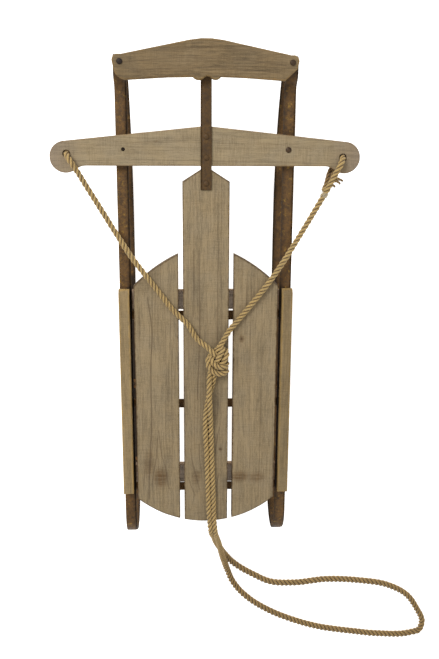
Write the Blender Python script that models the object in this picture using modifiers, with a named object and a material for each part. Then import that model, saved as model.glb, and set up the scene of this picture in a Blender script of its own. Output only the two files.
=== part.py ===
"""Steerable runner sled: a slatted wooden deck on two flat steel runners, with a pull rope.

Metres, +Z up. The sled stands on its runners: +Y is its front and +X its right-hand side
seen from above. The origin is on the ground under the middle of the sled.
"""
import math

import bmesh
import bpy
from mathutils import Euler, Matrix, Vector

# ---------------------------------------------------------------- driving dimensions
GAP = 0.0003            # between pieces that touch

STEEL = 0.003           # thickness of every flat bar
BOARD = 0.018           # thickness of every board
BAND_TOP = 0.1297       # top of the runners' upper run and of the crossbars
DECK_BOTTOM = BAND_TOP + GAP
DECK_TOP = DECK_BOTTOM + BOARD
STRAP_BOTTOM = DECK_TOP + GAP
STRAP_TOP = STRAP_BOTTOM + STEEL
BUMPER_BOTTOM = STRAP_TOP + GAP
BUMPER_TOP = BUMPER_BOTTOM + BOARD

RUNNER_INNER = 0.1370   # x of a runner's inner edge
RUNNER_OUTER = 0.1587
TAIL_CENTRE_Y = -0.4108
SWEEP_START_Y = 0.144   # where the ground run begins to rise
SWEEP = ((0.480, 32.4), (0.115, 41.0))       # radius and turn of each arc of the rise
TIP_FLAT_END_Y = 0.427
JOGGLE_TURN = 60.0      # slope of the step down behind the tip, degrees

SLAT_INNER = 0.0505     # x of an outer slat's inner edge
SLAT_OUTER = 0.1325
CENTRE_SLAT_HALF = 0.042
CENTRE_SLAT_SHOULDER_Y = 0.2382
CENTRE_SLAT_APEX_Y = 0.2650
REAR_ARC_CENTRE_Y = -0.2225
REAR_ARC_RADIUS = 0.200
SLAT_NOSE_INNER_Y = 0.1092
SLAT_NOSE_OUTER_Y = 0.0505
SLAT_NOSE_RADIUS = 0.290

RAIL_INNER = 0.1395
RAIL_OUTER = 0.1590
RAIL_FRONT_Y = 0.043
RAIL_REAR_Y = -0.3625
RAIL_CHAMFER = 0.0085

CROSSBAR_Y = {"front": -0.0085, "middle": -0.1824, "rear": -0.3557}
CROSSBAR_WIDTH = 0.0182
CROSSBAR_FLAT_X = 0.1305        # half length of the stretch under the slats
CROSSBAR_STEP_X = 0.1360        # end of the step that takes it under the upper run
LEG_X = 0.1555
LEG_BEND = 0.005
FOOT_INNER_X = 0.140
BATTEN_Y = {"front": 0.0212, "rear": -0.3272}
BATTEN_WIDTH = 0.036
BATTEN_THICK = 0.015

BAR_APEX_Y = 0.3340             # steering bar: middle of its front edge
BAR_REAR_Y = 0.2655
BAR_END = (0.2455, 0.2807)      # centre of the round end
BAR_END_RADIUS = 0.0274
BAR_FILLET = 0.030
ROPE_HOLE = {"left": (-0.2433, 0.2861), "right": (0.2425, 0.2811)}
ROPE_HOLE_RADIUS = 0.0065

STRAP_HALF = 0.0097
STRAP_FRONT_Y = 0.432
STRAP_REAR_Y = 0.2240

BUMPER_APEX = (0.009, 0.4757)       # end of the short flat at the front
BUMPER_SLOPE = (0.028, 0.4733)      # where the apex runs into the straight slope
BUMPER_SHOULDER = (0.143, 0.4500)
BUMPER_END = (0.1463, 0.4395)       # centre of the round end
BUMPER_END_RADIUS = 0.0110
BUMPER_CUT = ((0.154, 0.427), (0.134, 0.4085))      # the right rear corner
BUMPER_ROUND = (-0.1355, 0.4295)    # centre of the left rear corner
BUMPER_ROUND_RADIUS = 0.0210
BUMPER_ARCH = [(0.102, 0.4107), (0.065, 0.4130)]    # the hollow of the rear edge, each side
BUMPER_LOBES = ((0.0158, 0.018, 0.4142), (-0.0128, 0.020, 0.4138))   # x, width, base y
BUMPER_LOBE_DEPTH = 0.0048
BUMPER_NOTCH = (0.0010, 0.4157)     # between the lobes

PIVOT_Y = 0.2358                # steering axis
BUMPER_BOLT = (0.1459, 0.4378)
RUNNER_BOLT = (0.1449, 0.2938)
STRAP_BOLT_Y = {"front": 0.3159, "rear": 0.2804}
BOLT_RADIUS = 0.0025
BOLT_HEAD_RADIUS = 0.005
BOLT_HEAD_HEIGHT = 0.0028
NUT_THICK = 0.004
NUT_ACROSS_CORNERS = 0.0100
STEERING_LIMIT = 3.0            # degrees each way

SCREW_RADIUS = 0.002
SCREW_TIP = 0.003               # length of a wood screw's taper
SCREW_HEAD_RADIUS = 0.0036
SCREW_HEAD_HEIGHT = 0.0016
SLAT_SCREW_COVER = 0.006        # wood left above a screw's point
RAIL_SCREW_COVER = 0.005
RAIL_SCREW_X = 0.1465
FOOT_RIVET_X = 0.1455

ROPE = 0.0095                   # rope diameter
ROPE_SPACING = 0.034            # longest step between a tube's points
KNOT_CENTRE = (0.0188, -0.0903)
KNOT_RADII = (0.021, 0.027, 0.0115)
STOPPER_RADII = (0.011, 0.011, 0.009)
SEIZING_SPAN = 6                # the right leg's span that it is bound round
SEIZING_PLACE = 0.62            # part of the way along that span
SEIZING_LENGTH = 0.009
SEIZING_WALL = 0.002

# The rope's routes. On the deck its centre line lies half a diameter above the boards, on the
# ground half a diameter above the ground.
ON_DECK = DECK_TOP + GAP + ROPE / 2
ON_GROUND = ROPE / 2 + 0.0001

LEFT_LEG = [
    (-0.2433, 0.2861, 0.1305), (-0.2433, 0.2861, 0.1425), (-0.2422, 0.2843, 0.1505),
    (-0.2391, 0.2793, 0.1564), (-0.2348, 0.2725, 0.1585), (-0.2273, 0.2605, 0.1562),
    (-0.2090, 0.2280, 0.1500), (-0.1859, 0.1887, 0.1470), (-0.1581, 0.1417, 0.1462),
    (-0.1301, 0.0987, 0.1495), (-0.1114, 0.0745, 0.1538), (-0.0890, 0.0446, 0.1534),
    (-0.0598, 0.0064, ON_DECK), (-0.0386, -0.0170, 0.1534), (-0.0175, -0.0403, 0.1560),
    (-0.0004, -0.0585, 0.1595), (0.0060, -0.0650, 0.1605),
]
RIGHT_LEG = [
    (0.2425, 0.2811, 0.1305), (0.2425, 0.2811, 0.1425), (0.2416, 0.2792, 0.1505),
    (0.2390, 0.2739, 0.1564), (0.2356, 0.2667, 0.1585), (0.2290, 0.2530, 0.1562),
    (0.2188, 0.2312, 0.1525), (0.2062, 0.2073, 0.1495), (0.1690, 0.1412, 0.1462),
    (0.1424, 0.0978, 0.1492), (0.1175, 0.0618, 0.1538), (0.0892, 0.0244, ON_DECK),
    (0.0589, -0.0131, 0.1534), (0.0432, -0.0315, 0.1556), (0.0297, -0.0494, 0.1595),
    (0.0237, -0.0588, 0.1605),
]
RIGHT_TAIL = [
    (0.2425, 0.2811, 0.1285), (0.2411, 0.2796, 0.1220), (0.2374, 0.2756, 0.1165),
    (0.2323, 0.2701, 0.1145), (0.2262, 0.2634, 0.1160), (0.2195, 0.2561, 0.1205),
    (0.2128, 0.2397, 0.1325), (0.2063, 0.2277, 0.1425),
]
# Out over its other half and along the deck, down behind it, round the loop on the ground and
# back beside itself.
LOOP = [
    (0.0054, -0.1185, 0.1630), (0.0059, -0.1431, 0.1631), (0.0059, -0.1583, 0.1631),
    (0.0067, -0.1744, 0.1622), (0.0076, -0.1917, 0.1596), (0.0084, -0.2060, 0.1566),
    (0.0090, -0.2210, ON_DECK), (0.0105, -0.2693, ON_DECK),
    (0.0145, -0.3753, ON_DECK), (0.0167, -0.4233, 0.1536), (0.0183, -0.4393, 0.1528),
    (0.0205, -0.4538, 0.1450), (0.0234, -0.4673, 0.1320), (0.0288, -0.5008, 0.0990),
    (0.0360, -0.5473, 0.0580), (0.0438, -0.5848, 0.0290), (0.0516, -0.6163, 0.0110),
    (0.0620, -0.6465, ON_GROUND), (0.0788, -0.6713, ON_GROUND), (0.1008, -0.6933, ON_GROUND),
    (0.1438, -0.7233, ON_GROUND), (0.1958, -0.7483, ON_GROUND), (0.2598, -0.7698, ON_GROUND),
    (0.3308, -0.7828, ON_GROUND), (0.4028, -0.7923, ON_GROUND), (0.4728, -0.7913, ON_GROUND),
    (0.4933, -0.7843, ON_GROUND), (0.4988, -0.7663, ON_GROUND), (0.4828, -0.7263, ON_GROUND),
    (0.4598, -0.6938, ON_GROUND), (0.4188, -0.6688, ON_GROUND), (0.3448, -0.6533, ON_GROUND),
    (0.2718, -0.6488, ON_GROUND), (0.1998, -0.6558, ON_GROUND), (0.1448, -0.6508, ON_GROUND),
    (0.1090, -0.6325, ON_GROUND), (0.0825, -0.6164, 0.0056), (0.0618, -0.5963, 0.0105),
    (0.0467, -0.5725, 0.0230), (0.0351, -0.5449, 0.0440), (0.0238, -0.5113, 0.0755),
    (0.0148, -0.4723, 0.1170), (0.0103, -0.4538, 0.1420), (0.0083, -0.4393, 0.1528),
    (0.0067, -0.4233, 0.1536), (0.0045, -0.3753, ON_DECK), (0.0006, -0.2693, ON_DECK),
    (-0.0014, -0.2150, ON_DECK), (0.0000, -0.1923, ON_DECK), (0.0022, -0.1769, ON_DECK),
    (0.0058, -0.1578, ON_DECK), (0.0101, -0.1426, ON_DECK), (0.0131, -0.1307, 0.1536),
    (0.0149, -0.1200, 0.1560),
]

# material name: colour, roughness, metallic
LOOKS = {
    "slat_wood": ((0.27, 0.215, 0.15), 0.85, 0.0),
    "steering_wood": ((0.33, 0.27, 0.185), 0.85, 0.0),
    "bumper_wood": ((0.28, 0.21, 0.125), 0.85, 0.0),
    "batten_wood": ((0.16, 0.12, 0.10), 0.9, 0.0),
    "rusty_steel": ((0.075, 0.045, 0.025), 0.7, 0.6),
    "bolt_steel": ((0.055, 0.038, 0.028), 0.6, 0.7),
    "rope_fibre": ((0.42, 0.30, 0.13), 0.95, 0.0),
    "twine_fibre": ((0.62, 0.52, 0.32), 0.95, 0.0),
}


# ---------------------------------------------------------------- scene helpers
def clear_scene():
    for old in list(bpy.data.objects):
        bpy.data.objects.remove(old, do_unlink=True)


def make_collection(name):
    collection = bpy.data.collections.new(name)
    bpy.context.scene.collection.children.link(collection)
    return collection


def make_material(name):
    colour, roughness, metallic = LOOKS[name]
    material = bpy.data.materials.new(name)
    material.use_nodes = True
    shader = material.node_tree.nodes["Principled BSDF"]
    shader.inputs["Base Color"].default_value = (*colour, 1.0)
    shader.inputs["Roughness"].default_value = roughness
    shader.inputs["Metallic"].default_value = metallic
    return material


def add_object(name, data, look):
    """A part of the sled, in its collection, with its own copy of the material's look."""
    piece = bpy.data.objects.new(name, data)
    PARTS.objects.link(piece)
    data.materials.append(MATERIALS[look])
    return piece


def mesh_from(build):
    """A mesh filled by build(bm)."""
    bm = bmesh.new()
    build(bm)
    mesh = bpy.data.meshes.new("mesh")
    bm.to_mesh(mesh)
    bm.free()
    return mesh


def add_cutter(name, mesh, location=(0, 0, 0), turn=0.0):
    cutter = bpy.data.objects.new(name, mesh)
    CUTTERS.objects.link(cutter)
    cutter.location = location
    cutter.rotation_euler = Euler((0, 0, turn))
    cutter.hide_render = True
    cutter.display_type = "WIRE"
    return cutter


def cut(piece, cutter):
    modifier = piece.modifiers.new(cutter.name, "BOOLEAN")
    modifier.operation = "DIFFERENCE"
    modifier.solver = "EXACT"
    modifier.object = cutter


def cylinder_mesh(radius, length, sides):
    return mesh_from(lambda bm: bmesh.ops.create_cone(
        bm, cap_ends=True, segments=sides, radius1=radius, radius2=radius, depth=length))


def drill(pieces, x, y, low, high, radius):
    """Cuts one upright round hole through every piece in the list."""
    name = f"hole_{len(CUTTERS.objects)}"
    mesh = cylinder_mesh(radius, high - low, 12)
    cutter = add_cutter(name, mesh, (x, y, (low + high) / 2))
    for piece in pieces:
        cut(piece, cutter)


# ---------------------------------------------------------------- outlines and shapes
def arc(centre, radius, start, end, steps):
    """Points on a circle from one angle to another, in degrees, both ends included."""
    angles = [math.radians(start + (end - start) * i / steps) for i in range(steps + 1)]
    return [(centre[0] + radius * math.cos(a), centre[1] + radius * math.sin(a)) for a in angles]


def arc_between(first, last, radius, steps):
    """An arc from first to last that turns clockwise, its centre on the right of the way."""
    first, last = Vector(first), Vector(last)
    along = last - first
    side = Vector((along.y, -along.x)).normalized()
    centre = (first + last) / 2 + side * math.sqrt(radius ** 2 - (along.length / 2) ** 2)
    start = math.degrees(math.atan2(*(first - centre).yx))
    end = math.degrees(math.atan2(*(last - centre).yx))
    if end > start:
        end -= 360
    return arc(centre, radius, start, end, steps)


def mirrored(half):
    """Closes a right-hand half outline, listed front to rear, with its mirror image."""
    left = [(-x, y) for x, y in reversed(half) if abs(x) > 1e-6]
    return half + left


def plate(name, outline, bottom, top, look):
    """A flat board or bar: an outline seen from above, extruded from bottom to top."""
    curve = bpy.data.curves.new(name, "CURVE")
    curve.dimensions = "2D"
    curve.fill_mode = "BOTH"
    curve.extrude = (top - bottom) / 2
    spline = curve.splines.new("POLY")
    spline.points.add(len(outline) - 1)
    for point, (x, y) in zip(spline.points, outline):
        point.co = (x, y, 0, 1)
    spline.use_cyclic_u = True
    return meshed(name, curve, Matrix.Translation((0, 0, (bottom + top) / 2)), look)


def meshed(name, curve, placing, look):
    """The mesh of a curve with its caps welded, put in place as a part."""
    guide = bpy.data.objects.new(name + "_curve", curve)
    PARTS.objects.link(guide)
    evaluated = guide.evaluated_get(bpy.context.evaluated_depsgraph_get())
    mesh = bpy.data.meshes.new_from_object(evaluated)
    bm = bmesh.new()
    bm.from_mesh(mesh)
    bmesh.ops.remove_doubles(bm, verts=bm.verts, dist=0.00001)
    bmesh.ops.recalc_face_normals(bm, faces=bm.faces)
    bm.to_mesh(mesh)
    bm.free()
    bpy.data.objects.remove(guide)
    mesh.materials.clear()
    piece = add_object(name, mesh, look)
    piece.matrix_world = placing
    return piece


class Path:
    """The middle line of a bent flat bar, drawn like a turtle in its side plane."""

    def __init__(self, start):
        self.points = [start]
        self.heading = 0.0

    def to_first(self, value):
        """Straight on until the first coordinate has this value."""
        u, v = self.points[-1]
        run = (value - u) / math.cos(self.heading)
        self.points.append((value, v + run * math.sin(self.heading)))

    def to_second(self, value):
        """Straight on until the second coordinate has this value."""
        u, v = self.points[-1]
        run = (value - v) / math.sin(self.heading)
        self.points.append((u + run * math.cos(self.heading), value))

    def bend(self, radius, degrees, steps):
        """Turns left by an angle, or right if it is negative."""
        u, v = self.points[-1]
        side = math.copysign(1, degrees)
        centre = (u - side * radius * math.sin(self.heading),
                  v + side * radius * math.cos(self.heading))
        start = math.degrees(self.heading) - side * 90
        self.points += arc(centre, radius, start, start + degrees, steps)[1:]
        self.heading += math.radians(degrees)


def strip(name, points, low, high, place, closed, look):
    """A flat bar: the path's edges swept sideways from low to high, then given thickness."""
    def build(bm):
        row = [bm.verts.new(place(u, v, low)) for u, v in points]
        pairs = list(zip(row, row[1:] + row[:1])) if closed else list(zip(row, row[1:]))
        edges = [bm.edges.new(pair) for pair in pairs]
        swept = bmesh.ops.extrude_edge_only(bm, edges=edges)["geom"]
        moved = [g for g in swept if isinstance(g, bmesh.types.BMVert)]
        shift = Vector(place(0, 0, high)) - Vector(place(0, 0, low))
        bmesh.ops.translate(bm, verts=moved, vec=shift)

    piece = add_object(name, mesh_from(build), look)
    solidify = piece.modifiers.new("thickness", "SOLIDIFY")
    solidify.thickness = STEEL
    solidify.offset = 0.0
    solidify.use_even_offset = True
    return piece


def turned(name, profile, location, look, steps=12, ring=False):
    """A solid of revolution about Z; the profile runs down its outer side, top to bottom, and
    a ring's profile comes back up its inner side."""
    def build(bm):
        row = [bm.verts.new((radius, 0, height)) for radius, height in profile]
        for pair in zip(row, row[1:] + row[:1] if ring else row[1:]):
            bm.edges.new(pair)

    piece = add_object(name, mesh_from(build), look)
    piece.location = location
    screw = piece.modifiers.new("turn", "SCREW")
    screw.axis = "Z"
    screw.angle = 2 * math.pi
    screw.steps = steps
    screw.render_steps = steps
    screw.use_merge_vertices = True
    screw.merge_threshold = 0.00001
    screw.use_smooth_shade = True
    return piece


def ball(name, centre, radii, look):
    """A flattened round solid: the outer shape of a knot."""
    def build(bm):
        bmesh.ops.create_uvsphere(bm, u_segments=14, v_segments=8, radius=1.0)
        bmesh.ops.scale(bm, vec=Vector(radii), verts=bm.verts)

    piece = add_object(name, mesh_from(build), look)
    piece.location = centre
    return piece


# ---------------------------------------------------------------- runners and crossbars
def runner(side, hand):
    """One closed loop of flat bar: ground run, rising front, tip, upper run and round tail."""
    path = Path((TAIL_CENTRE_Y, STEEL / 2))
    path.to_first(SWEEP_START_Y)
    for radius, turn in SWEEP:
        path.bend(radius, turn, 7)
    tip_height = STRAP_TOP - STEEL / 2
    tip_radius = (tip_height - path.points[-1][1]) / (1 + math.cos(path.heading))
    path.bend(tip_radius, 180 - math.degrees(path.heading), 6)
    path.to_first(TIP_FLAT_END_Y)
    upper = BAND_TOP - STEEL / 2
    joggle = (tip_height - upper) / 2 / (1 - math.cos(math.radians(JOGGLE_TURN)))
    path.bend(joggle, JOGGLE_TURN, 4)
    path.bend(joggle, -JOGGLE_TURN, 4)
    path.to_first(TAIL_CENTRE_Y)
    path.bend((upper - STEEL / 2) / 2, 180, 14)
    edges = sorted((hand * RUNNER_INNER, hand * RUNNER_OUTER))
    return strip(f"{side}_runner", path.points[:-1], *edges,
                 lambda y, z, x: (x, y, z), True, "rusty_steel")


def crossbar(place, y):
    """A bridge of flat bar: flat under the slats, stepped under the upper runs, and down on
    legs to feet that turn inward on the ground runs."""
    under = BAND_TOP - STEEL - GAP - STEEL / 2
    right = [(0.0, BAND_TOP - STEEL / 2), (CROSSBAR_FLAT_X, BAND_TOP - STEEL / 2),
             (CROSSBAR_STEP_X, under)]
    path = Path(right[-1])
    path.to_first(LEG_X - LEG_BEND)
    path.bend(LEG_BEND, -90, 4)
    path.to_second(STEEL + GAP + STEEL / 2 + LEG_BEND)
    path.bend(LEG_BEND, -90, 4)
    path.to_first(FOOT_INNER_X)
    right += path.points[1:]
    left = [(-x, z) for x, z in reversed(right[1:])]
    half = CROSSBAR_WIDTH / 2
    return strip(f"{place}_crossbar", left + right, y - half, y + half,
                 lambda x, z, y: (x, y, z), False, "rusty_steel")


def batten(place, y):
    half = BATTEN_WIDTH / 2
    end = RUNNER_INNER - GAP
    outline = [(-end, y - half), (end, y - half), (end, y + half), (-end, y + half)]
    return plate(f"{place}_batten", outline, BAND_TOP - BATTEN_THICK, BAND_TOP, "batten_wood")


# ---------------------------------------------------------------- deck
def rear_arc(from_x, to_x, steps):
    """Points of the deck's round rear edge, from one x to the other."""
    start, end = (math.degrees(-math.acos(x / REAR_ARC_RADIUS)) for x in (from_x, to_x))
    return arc((0, REAR_ARC_CENTRE_Y), REAR_ARC_RADIUS, start, end, steps)


def centre_slat():
    half = CENTRE_SLAT_HALF
    outline = [(0, CENTRE_SLAT_APEX_Y), (half, CENTRE_SLAT_SHOULDER_Y)]
    outline += rear_arc(half, -half, 8)
    outline.append((-half, CENTRE_SLAT_SHOULDER_Y))
    return plate("centre_slat", outline, DECK_BOTTOM, DECK_TOP, "slat_wood")


def outer_slat(side, hand):
    nose = arc_between((SLAT_INNER, SLAT_NOSE_INNER_Y), (SLAT_OUTER, SLAT_NOSE_OUTER_Y),
                       SLAT_NOSE_RADIUS, 6)
    outline = [(hand * x, y) for x, y in nose + rear_arc(SLAT_OUTER, SLAT_INNER, 8)]
    return plate(f"{side}_slat", outline, DECK_BOTTOM, DECK_TOP, "slat_wood")


def rail(side, hand):
    """A side rail on the upper run, its front end chamfered."""
    low, high = sorted((hand * RAIL_INNER, hand * RAIL_OUTER))
    outline = [(RAIL_REAR_Y, DECK_BOTTOM), (RAIL_FRONT_Y, DECK_BOTTOM),
               (RAIL_FRONT_Y, DECK_TOP - RAIL_CHAMFER), (RAIL_FRONT_Y - RAIL_CHAMFER, DECK_TOP),
               (RAIL_REAR_Y, DECK_TOP)]
    piece = plate(f"{side}_rail", outline, low, high, "slat_wood")
    lengthways = Matrix(((0, 0, 1, 0), (1, 0, 0, 0), (0, 1, 0, 0), (0, 0, 0, 1)))
    piece.matrix_world = lengthways @ piece.matrix_world
    return piece


# ---------------------------------------------------------------- bumper and steering
def lobe(centre_x, width, depth, base_y):
    """A small round bulge on a rear edge, listed from +x to -x."""
    radius = width ** 2 / (8 * depth) + depth / 2
    half = math.degrees(math.asin(width / 2 / radius))
    return arc((centre_x, base_y - depth + radius), radius, -90 + half, -90 - half, 5)


def bumper():
    """The front cross board: straight slopes from a blunt middle to round ends, hollow at the
    rear with two small lobes over the strap. Its rear corners are a cut on the right and a
    round on the left."""
    flank = [BUMPER_APEX, BUMPER_SLOPE, BUMPER_SHOULDER]
    outline = flank + arc(BUMPER_END, BUMPER_END_RADIUS, 72, 0, 5)
    outline += list(BUMPER_CUT) + BUMPER_ARCH
    for i, (x, width, base_y) in enumerate(BUMPER_LOBES):
        if i:
            outline.append(BUMPER_NOTCH)
        outline += lobe(x, width, BUMPER_LOBE_DEPTH, base_y)
    outline += [(-x, y) for x, y in reversed(BUMPER_ARCH)]
    outline += arc(BUMPER_ROUND, BUMPER_ROUND_RADIUS, -90, -168, 5)
    outline += arc((-BUMPER_END[0], BUMPER_END[1]), BUMPER_END_RADIUS, 180, 108, 5)
    outline += [(-x, y) for x, y in reversed(flank)]
    return plate("bumper", outline, BUMPER_BOTTOM, BUMPER_TOP, "bumper_wood")


def steering_bar():
    """Pointed in the middle of its front edge, straight at the rear, with round ends."""
    end_x, end_y = BAR_END
    fillet_y = BAR_REAR_Y - BAR_FILLET
    reach = math.sqrt((BAR_END_RADIUS + BAR_FILLET) ** 2 - (end_y - fillet_y) ** 2)
    touch = math.degrees(math.atan2(fillet_y - end_y, -reach))
    half = [(0, BAR_APEX_Y)]
    half += arc(BAR_END, BAR_END_RADIUS, 84, touch, 16)
    half += arc((end_x - reach, fillet_y), BAR_FILLET, touch + 180, 90, 5)[1:]
    bar = plate("steering_bar", mirrored(half), DECK_BOTTOM, DECK_TOP, "steering_wood")
    for x, y in ROPE_HOLE.values():
        drill([bar], x, y, DECK_BOTTOM - 0.002, DECK_TOP + 0.002, ROPE_HOLE_RADIUS)
    return bar


def steering_strap():
    outline = [(-STRAP_HALF, STRAP_REAR_Y), (STRAP_HALF, STRAP_REAR_Y),
               (STRAP_HALF, STRAP_FRONT_Y), (-STRAP_HALF, STRAP_FRONT_Y)]
    return plate("steering_strap", outline, STRAP_BOTTOM, STRAP_TOP, "rusty_steel")


# ---------------------------------------------------------------- fasteners
def nut(name, x, y, top):
    piece = add_object(name, cylinder_mesh(NUT_ACROSS_CORNERS / 2, NUT_THICK, 6), "bolt_steel")
    piece.location = (x, y, top - NUT_THICK / 2)
    drill([piece], x, y, top - 2 * NUT_THICK, top + NUT_THICK, BOLT_RADIUS + GAP)
    return piece


def bolt(name, x, y, seat, end, headless=False):
    """A bolt with a low domed head on its seat, or a headless one that stops at its seat."""
    if headless:
        profile = [(0, seat), (BOLT_RADIUS, seat)]
    else:
        rim = BOLT_HEAD_RADIUS
        dome = [(rim * math.sin(a), seat + BOLT_HEAD_HEIGHT * (0.3 + 0.7 * math.cos(a)))
                for a in (math.radians(30 * i) for i in range(4))]
        profile = dome + [(rim, seat), (BOLT_RADIUS, seat)]
    profile += [(BOLT_RADIUS, end), (0, end)]
    return turned(name, profile, (x, y, 0), "bolt_steel")


def bolted(name, x, y, seat, grip_bottom, pieces):
    """A bolt and its nut through the pieces, from its seat to the underside of the lowest."""
    low = grip_bottom - GAP - NUT_THICK
    made = [bolt(f"{name}_bolt", x, y, seat + GAP, low - 0.0015),
            nut(f"{name}_nut", x, y, grip_bottom - GAP)]
    drill(pieces, x, y, grip_bottom - 0.003, seat + 0.003, BOLT_RADIUS + GAP)
    return made


def runner_slot(piece, hand):
    """The slot in an upper run that lets the steering bolt travel along its arc."""
    x, y = hand * RUNNER_BOLT[0], RUNNER_BOLT[1]
    travel = math.hypot(x, y - PIVOT_Y) * math.sin(math.radians(STEERING_LIMIT))
    radius = BOLT_RADIUS + 2 * GAP
    outline = arc((travel, 0), radius, -90, 90, 6) + arc((-travel, 0), radius, 90, 270, 6)

    def build(bm):
        low = [bm.verts.new((u, v, 0)) for u, v in outline]
        face = bm.faces.new(low)
        block = bmesh.ops.extrude_face_region(bm, geom=[face])["geom"]
        raised = [g for g in block if isinstance(g, bmesh.types.BMVert)]
        bmesh.ops.translate(bm, verts=raised, vec=(0, 0, 4 * STEEL))
        bmesh.ops.recalc_face_normals(bm, faces=bm.faces)

    angle = math.atan2(x, -(y - PIVOT_Y))
    place = (x, y, BAND_TOP - 2 * STEEL)
    cut(piece, add_cutter(f"slot_{len(CUTTERS.objects)}", mesh_from(build), place, angle))


def runner_bolts(bar):
    """The bolts that join the steering bar to the runners: the left one is sunk in its hole."""
    made = []
    for side, hand in SIDES:
        x, y = hand * RUNNER_BOLT[0], RUNNER_BOLT[1]
        low = BAND_TOP - STEEL - GAP - NUT_THICK
        sunk = side == "left"
        seat = DECK_TOP - 0.0025 if sunk else DECK_TOP + GAP
        made.append(bolt(f"{side}_runner_bolt", x, y, seat, low - 0.0015, headless=sunk))
        made.append(nut(f"{side}_runner_nut", x, y, BAND_TOP - STEEL - GAP))
        hole = BOLT_RADIUS + (0.0008 if sunk else GAP)
        drill([bar], x, y, DECK_BOTTOM - 0.001, DECK_TOP + 0.001, hole)
    return made


def screw_from_below(name, x, y, seat, point, through, into):
    """A flat-headed wood screw, driven up through one or more pieces into a board."""
    top = seat - GAP
    profile = [(0, point), (SCREW_RADIUS, point - SCREW_TIP), (SCREW_RADIUS, top),
               (SCREW_HEAD_RADIUS, top), (SCREW_HEAD_RADIUS, top - SCREW_HEAD_HEIGHT),
               (0, top - SCREW_HEAD_HEIGHT)]
    turned(name, profile, (x, y, 0), "bolt_steel", steps=8)
    drill(through + [into], x, y, seat - 0.002, point + GAP, SCREW_RADIUS + GAP)


def foot_rivet(name, x, y, pieces):
    """A rivet through a crossbar's foot and the ground run, flush below."""
    seat = 2 * (STEEL + GAP)
    profile = [(0, seat + 0.0018), (0.0026, seat + 0.0014), (0.0038, seat),
               (BOLT_RADIUS, seat), (BOLT_RADIUS, 0.0006), (0, 0.0006)]
    turned(name, profile, (x, y, 0), "bolt_steel", steps=10)
    drill(pieces, x, y, -0.002, seat + 0.002, BOLT_RADIUS + GAP)


# ---------------------------------------------------------------- rope
def smooth_points(route):
    """Points read from a smooth curve through the route, closer where its points are closer."""
    route = [Vector(p) for p in route]
    ends = [2 * route[0] - route[1]] + route + [2 * route[-1] - route[-2]]
    points = [route[0]]
    for before, here, there, after in zip(ends, ends[1:], ends[2:], ends[3:]):
        count = max(1, round((there - here).length / ROPE_SPACING))
        for i in range(1, count + 1):
            points.append(spline_point(before, here, there, after, i / count))
    return points


def spline_point(before, here, there, after, t):
    """Catmull-Rom with chord-length knots, which neither loops nor overshoots."""
    spans = [max((b - a).length, 1e-6) for a, b in ((before, here), (here, there), (there, after))]
    out = (here - before) / spans[0] * spans[1] ** 2 + (there - here) * spans[0]
    out /= spans[0] + spans[1]
    into = (after - there) / spans[2] * spans[1] ** 2 + (there - here) * spans[2]
    into /= spans[1] + spans[2]
    return ((2 * t ** 3 - 3 * t ** 2 + 1) * here + (t ** 3 - 2 * t ** 2 + t) * out
            + (3 * t ** 2 - 2 * t ** 3) * there + (t ** 3 - t ** 2) * into)


def rope_tube(name, route):
    points = smooth_points(route)
    curve = bpy.data.curves.new(name, "CURVE")
    curve.dimensions = "3D"
    curve.bevel_depth = ROPE / 2
    curve.bevel_resolution = 2
    curve.use_fill_caps = True
    spline = curve.splines.new("POLY")
    spline.points.add(len(points) - 1)
    for point, place in zip(spline.points, points):
        point.co = (*place, 1)
    return meshed(name, curve, Matrix.Identity(4), "rope_fibre")


def seizing():
    """A sleeve of light twine round the rope, where its tucked end is bound."""
    inner = ROPE / 2 + GAP
    outer = inner + SEIZING_WALL
    half = SEIZING_LENGTH / 2
    profile = [(outer, half), (outer, -half), (inner, -half), (inner, half)]
    start, end = (Vector(p) for p in RIGHT_LEG[SEIZING_SPAN:SEIZING_SPAN + 2])
    centre = start.lerp(end, SEIZING_PLACE)
    piece = turned("rope_seizing", profile, centre, "twine_fibre", ring=True)
    piece.rotation_euler = (start - end).to_track_quat("Z", "Y").to_euler()
    return piece


def rope():
    """The pull rope: two legs to a knot, a doubled length off the rear, and the two ends under
    the steering bar. Returns the pieces that turn with the bar."""
    rope_tube("rope_left_leg", LEFT_LEG)
    rope_tube("rope_right_leg", RIGHT_LEG)
    rope_tube("rope_loop", LOOP)
    ball("rope_knot", (*KNOT_CENTRE, DECK_TOP + GAP + KNOT_RADII[2]), KNOT_RADII, "rope_fibre")
    stopper_z = DECK_BOTTOM - GAP - STOPPER_RADII[2]
    stopper = ball("rope_left_stopper", (*ROPE_HOLE["left"], stopper_z), STOPPER_RADII,
                   "rope_fibre")
    tail = rope_tube("rope_right_tail", RIGHT_TAIL)
    return [stopper, tail, seizing()]


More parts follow.
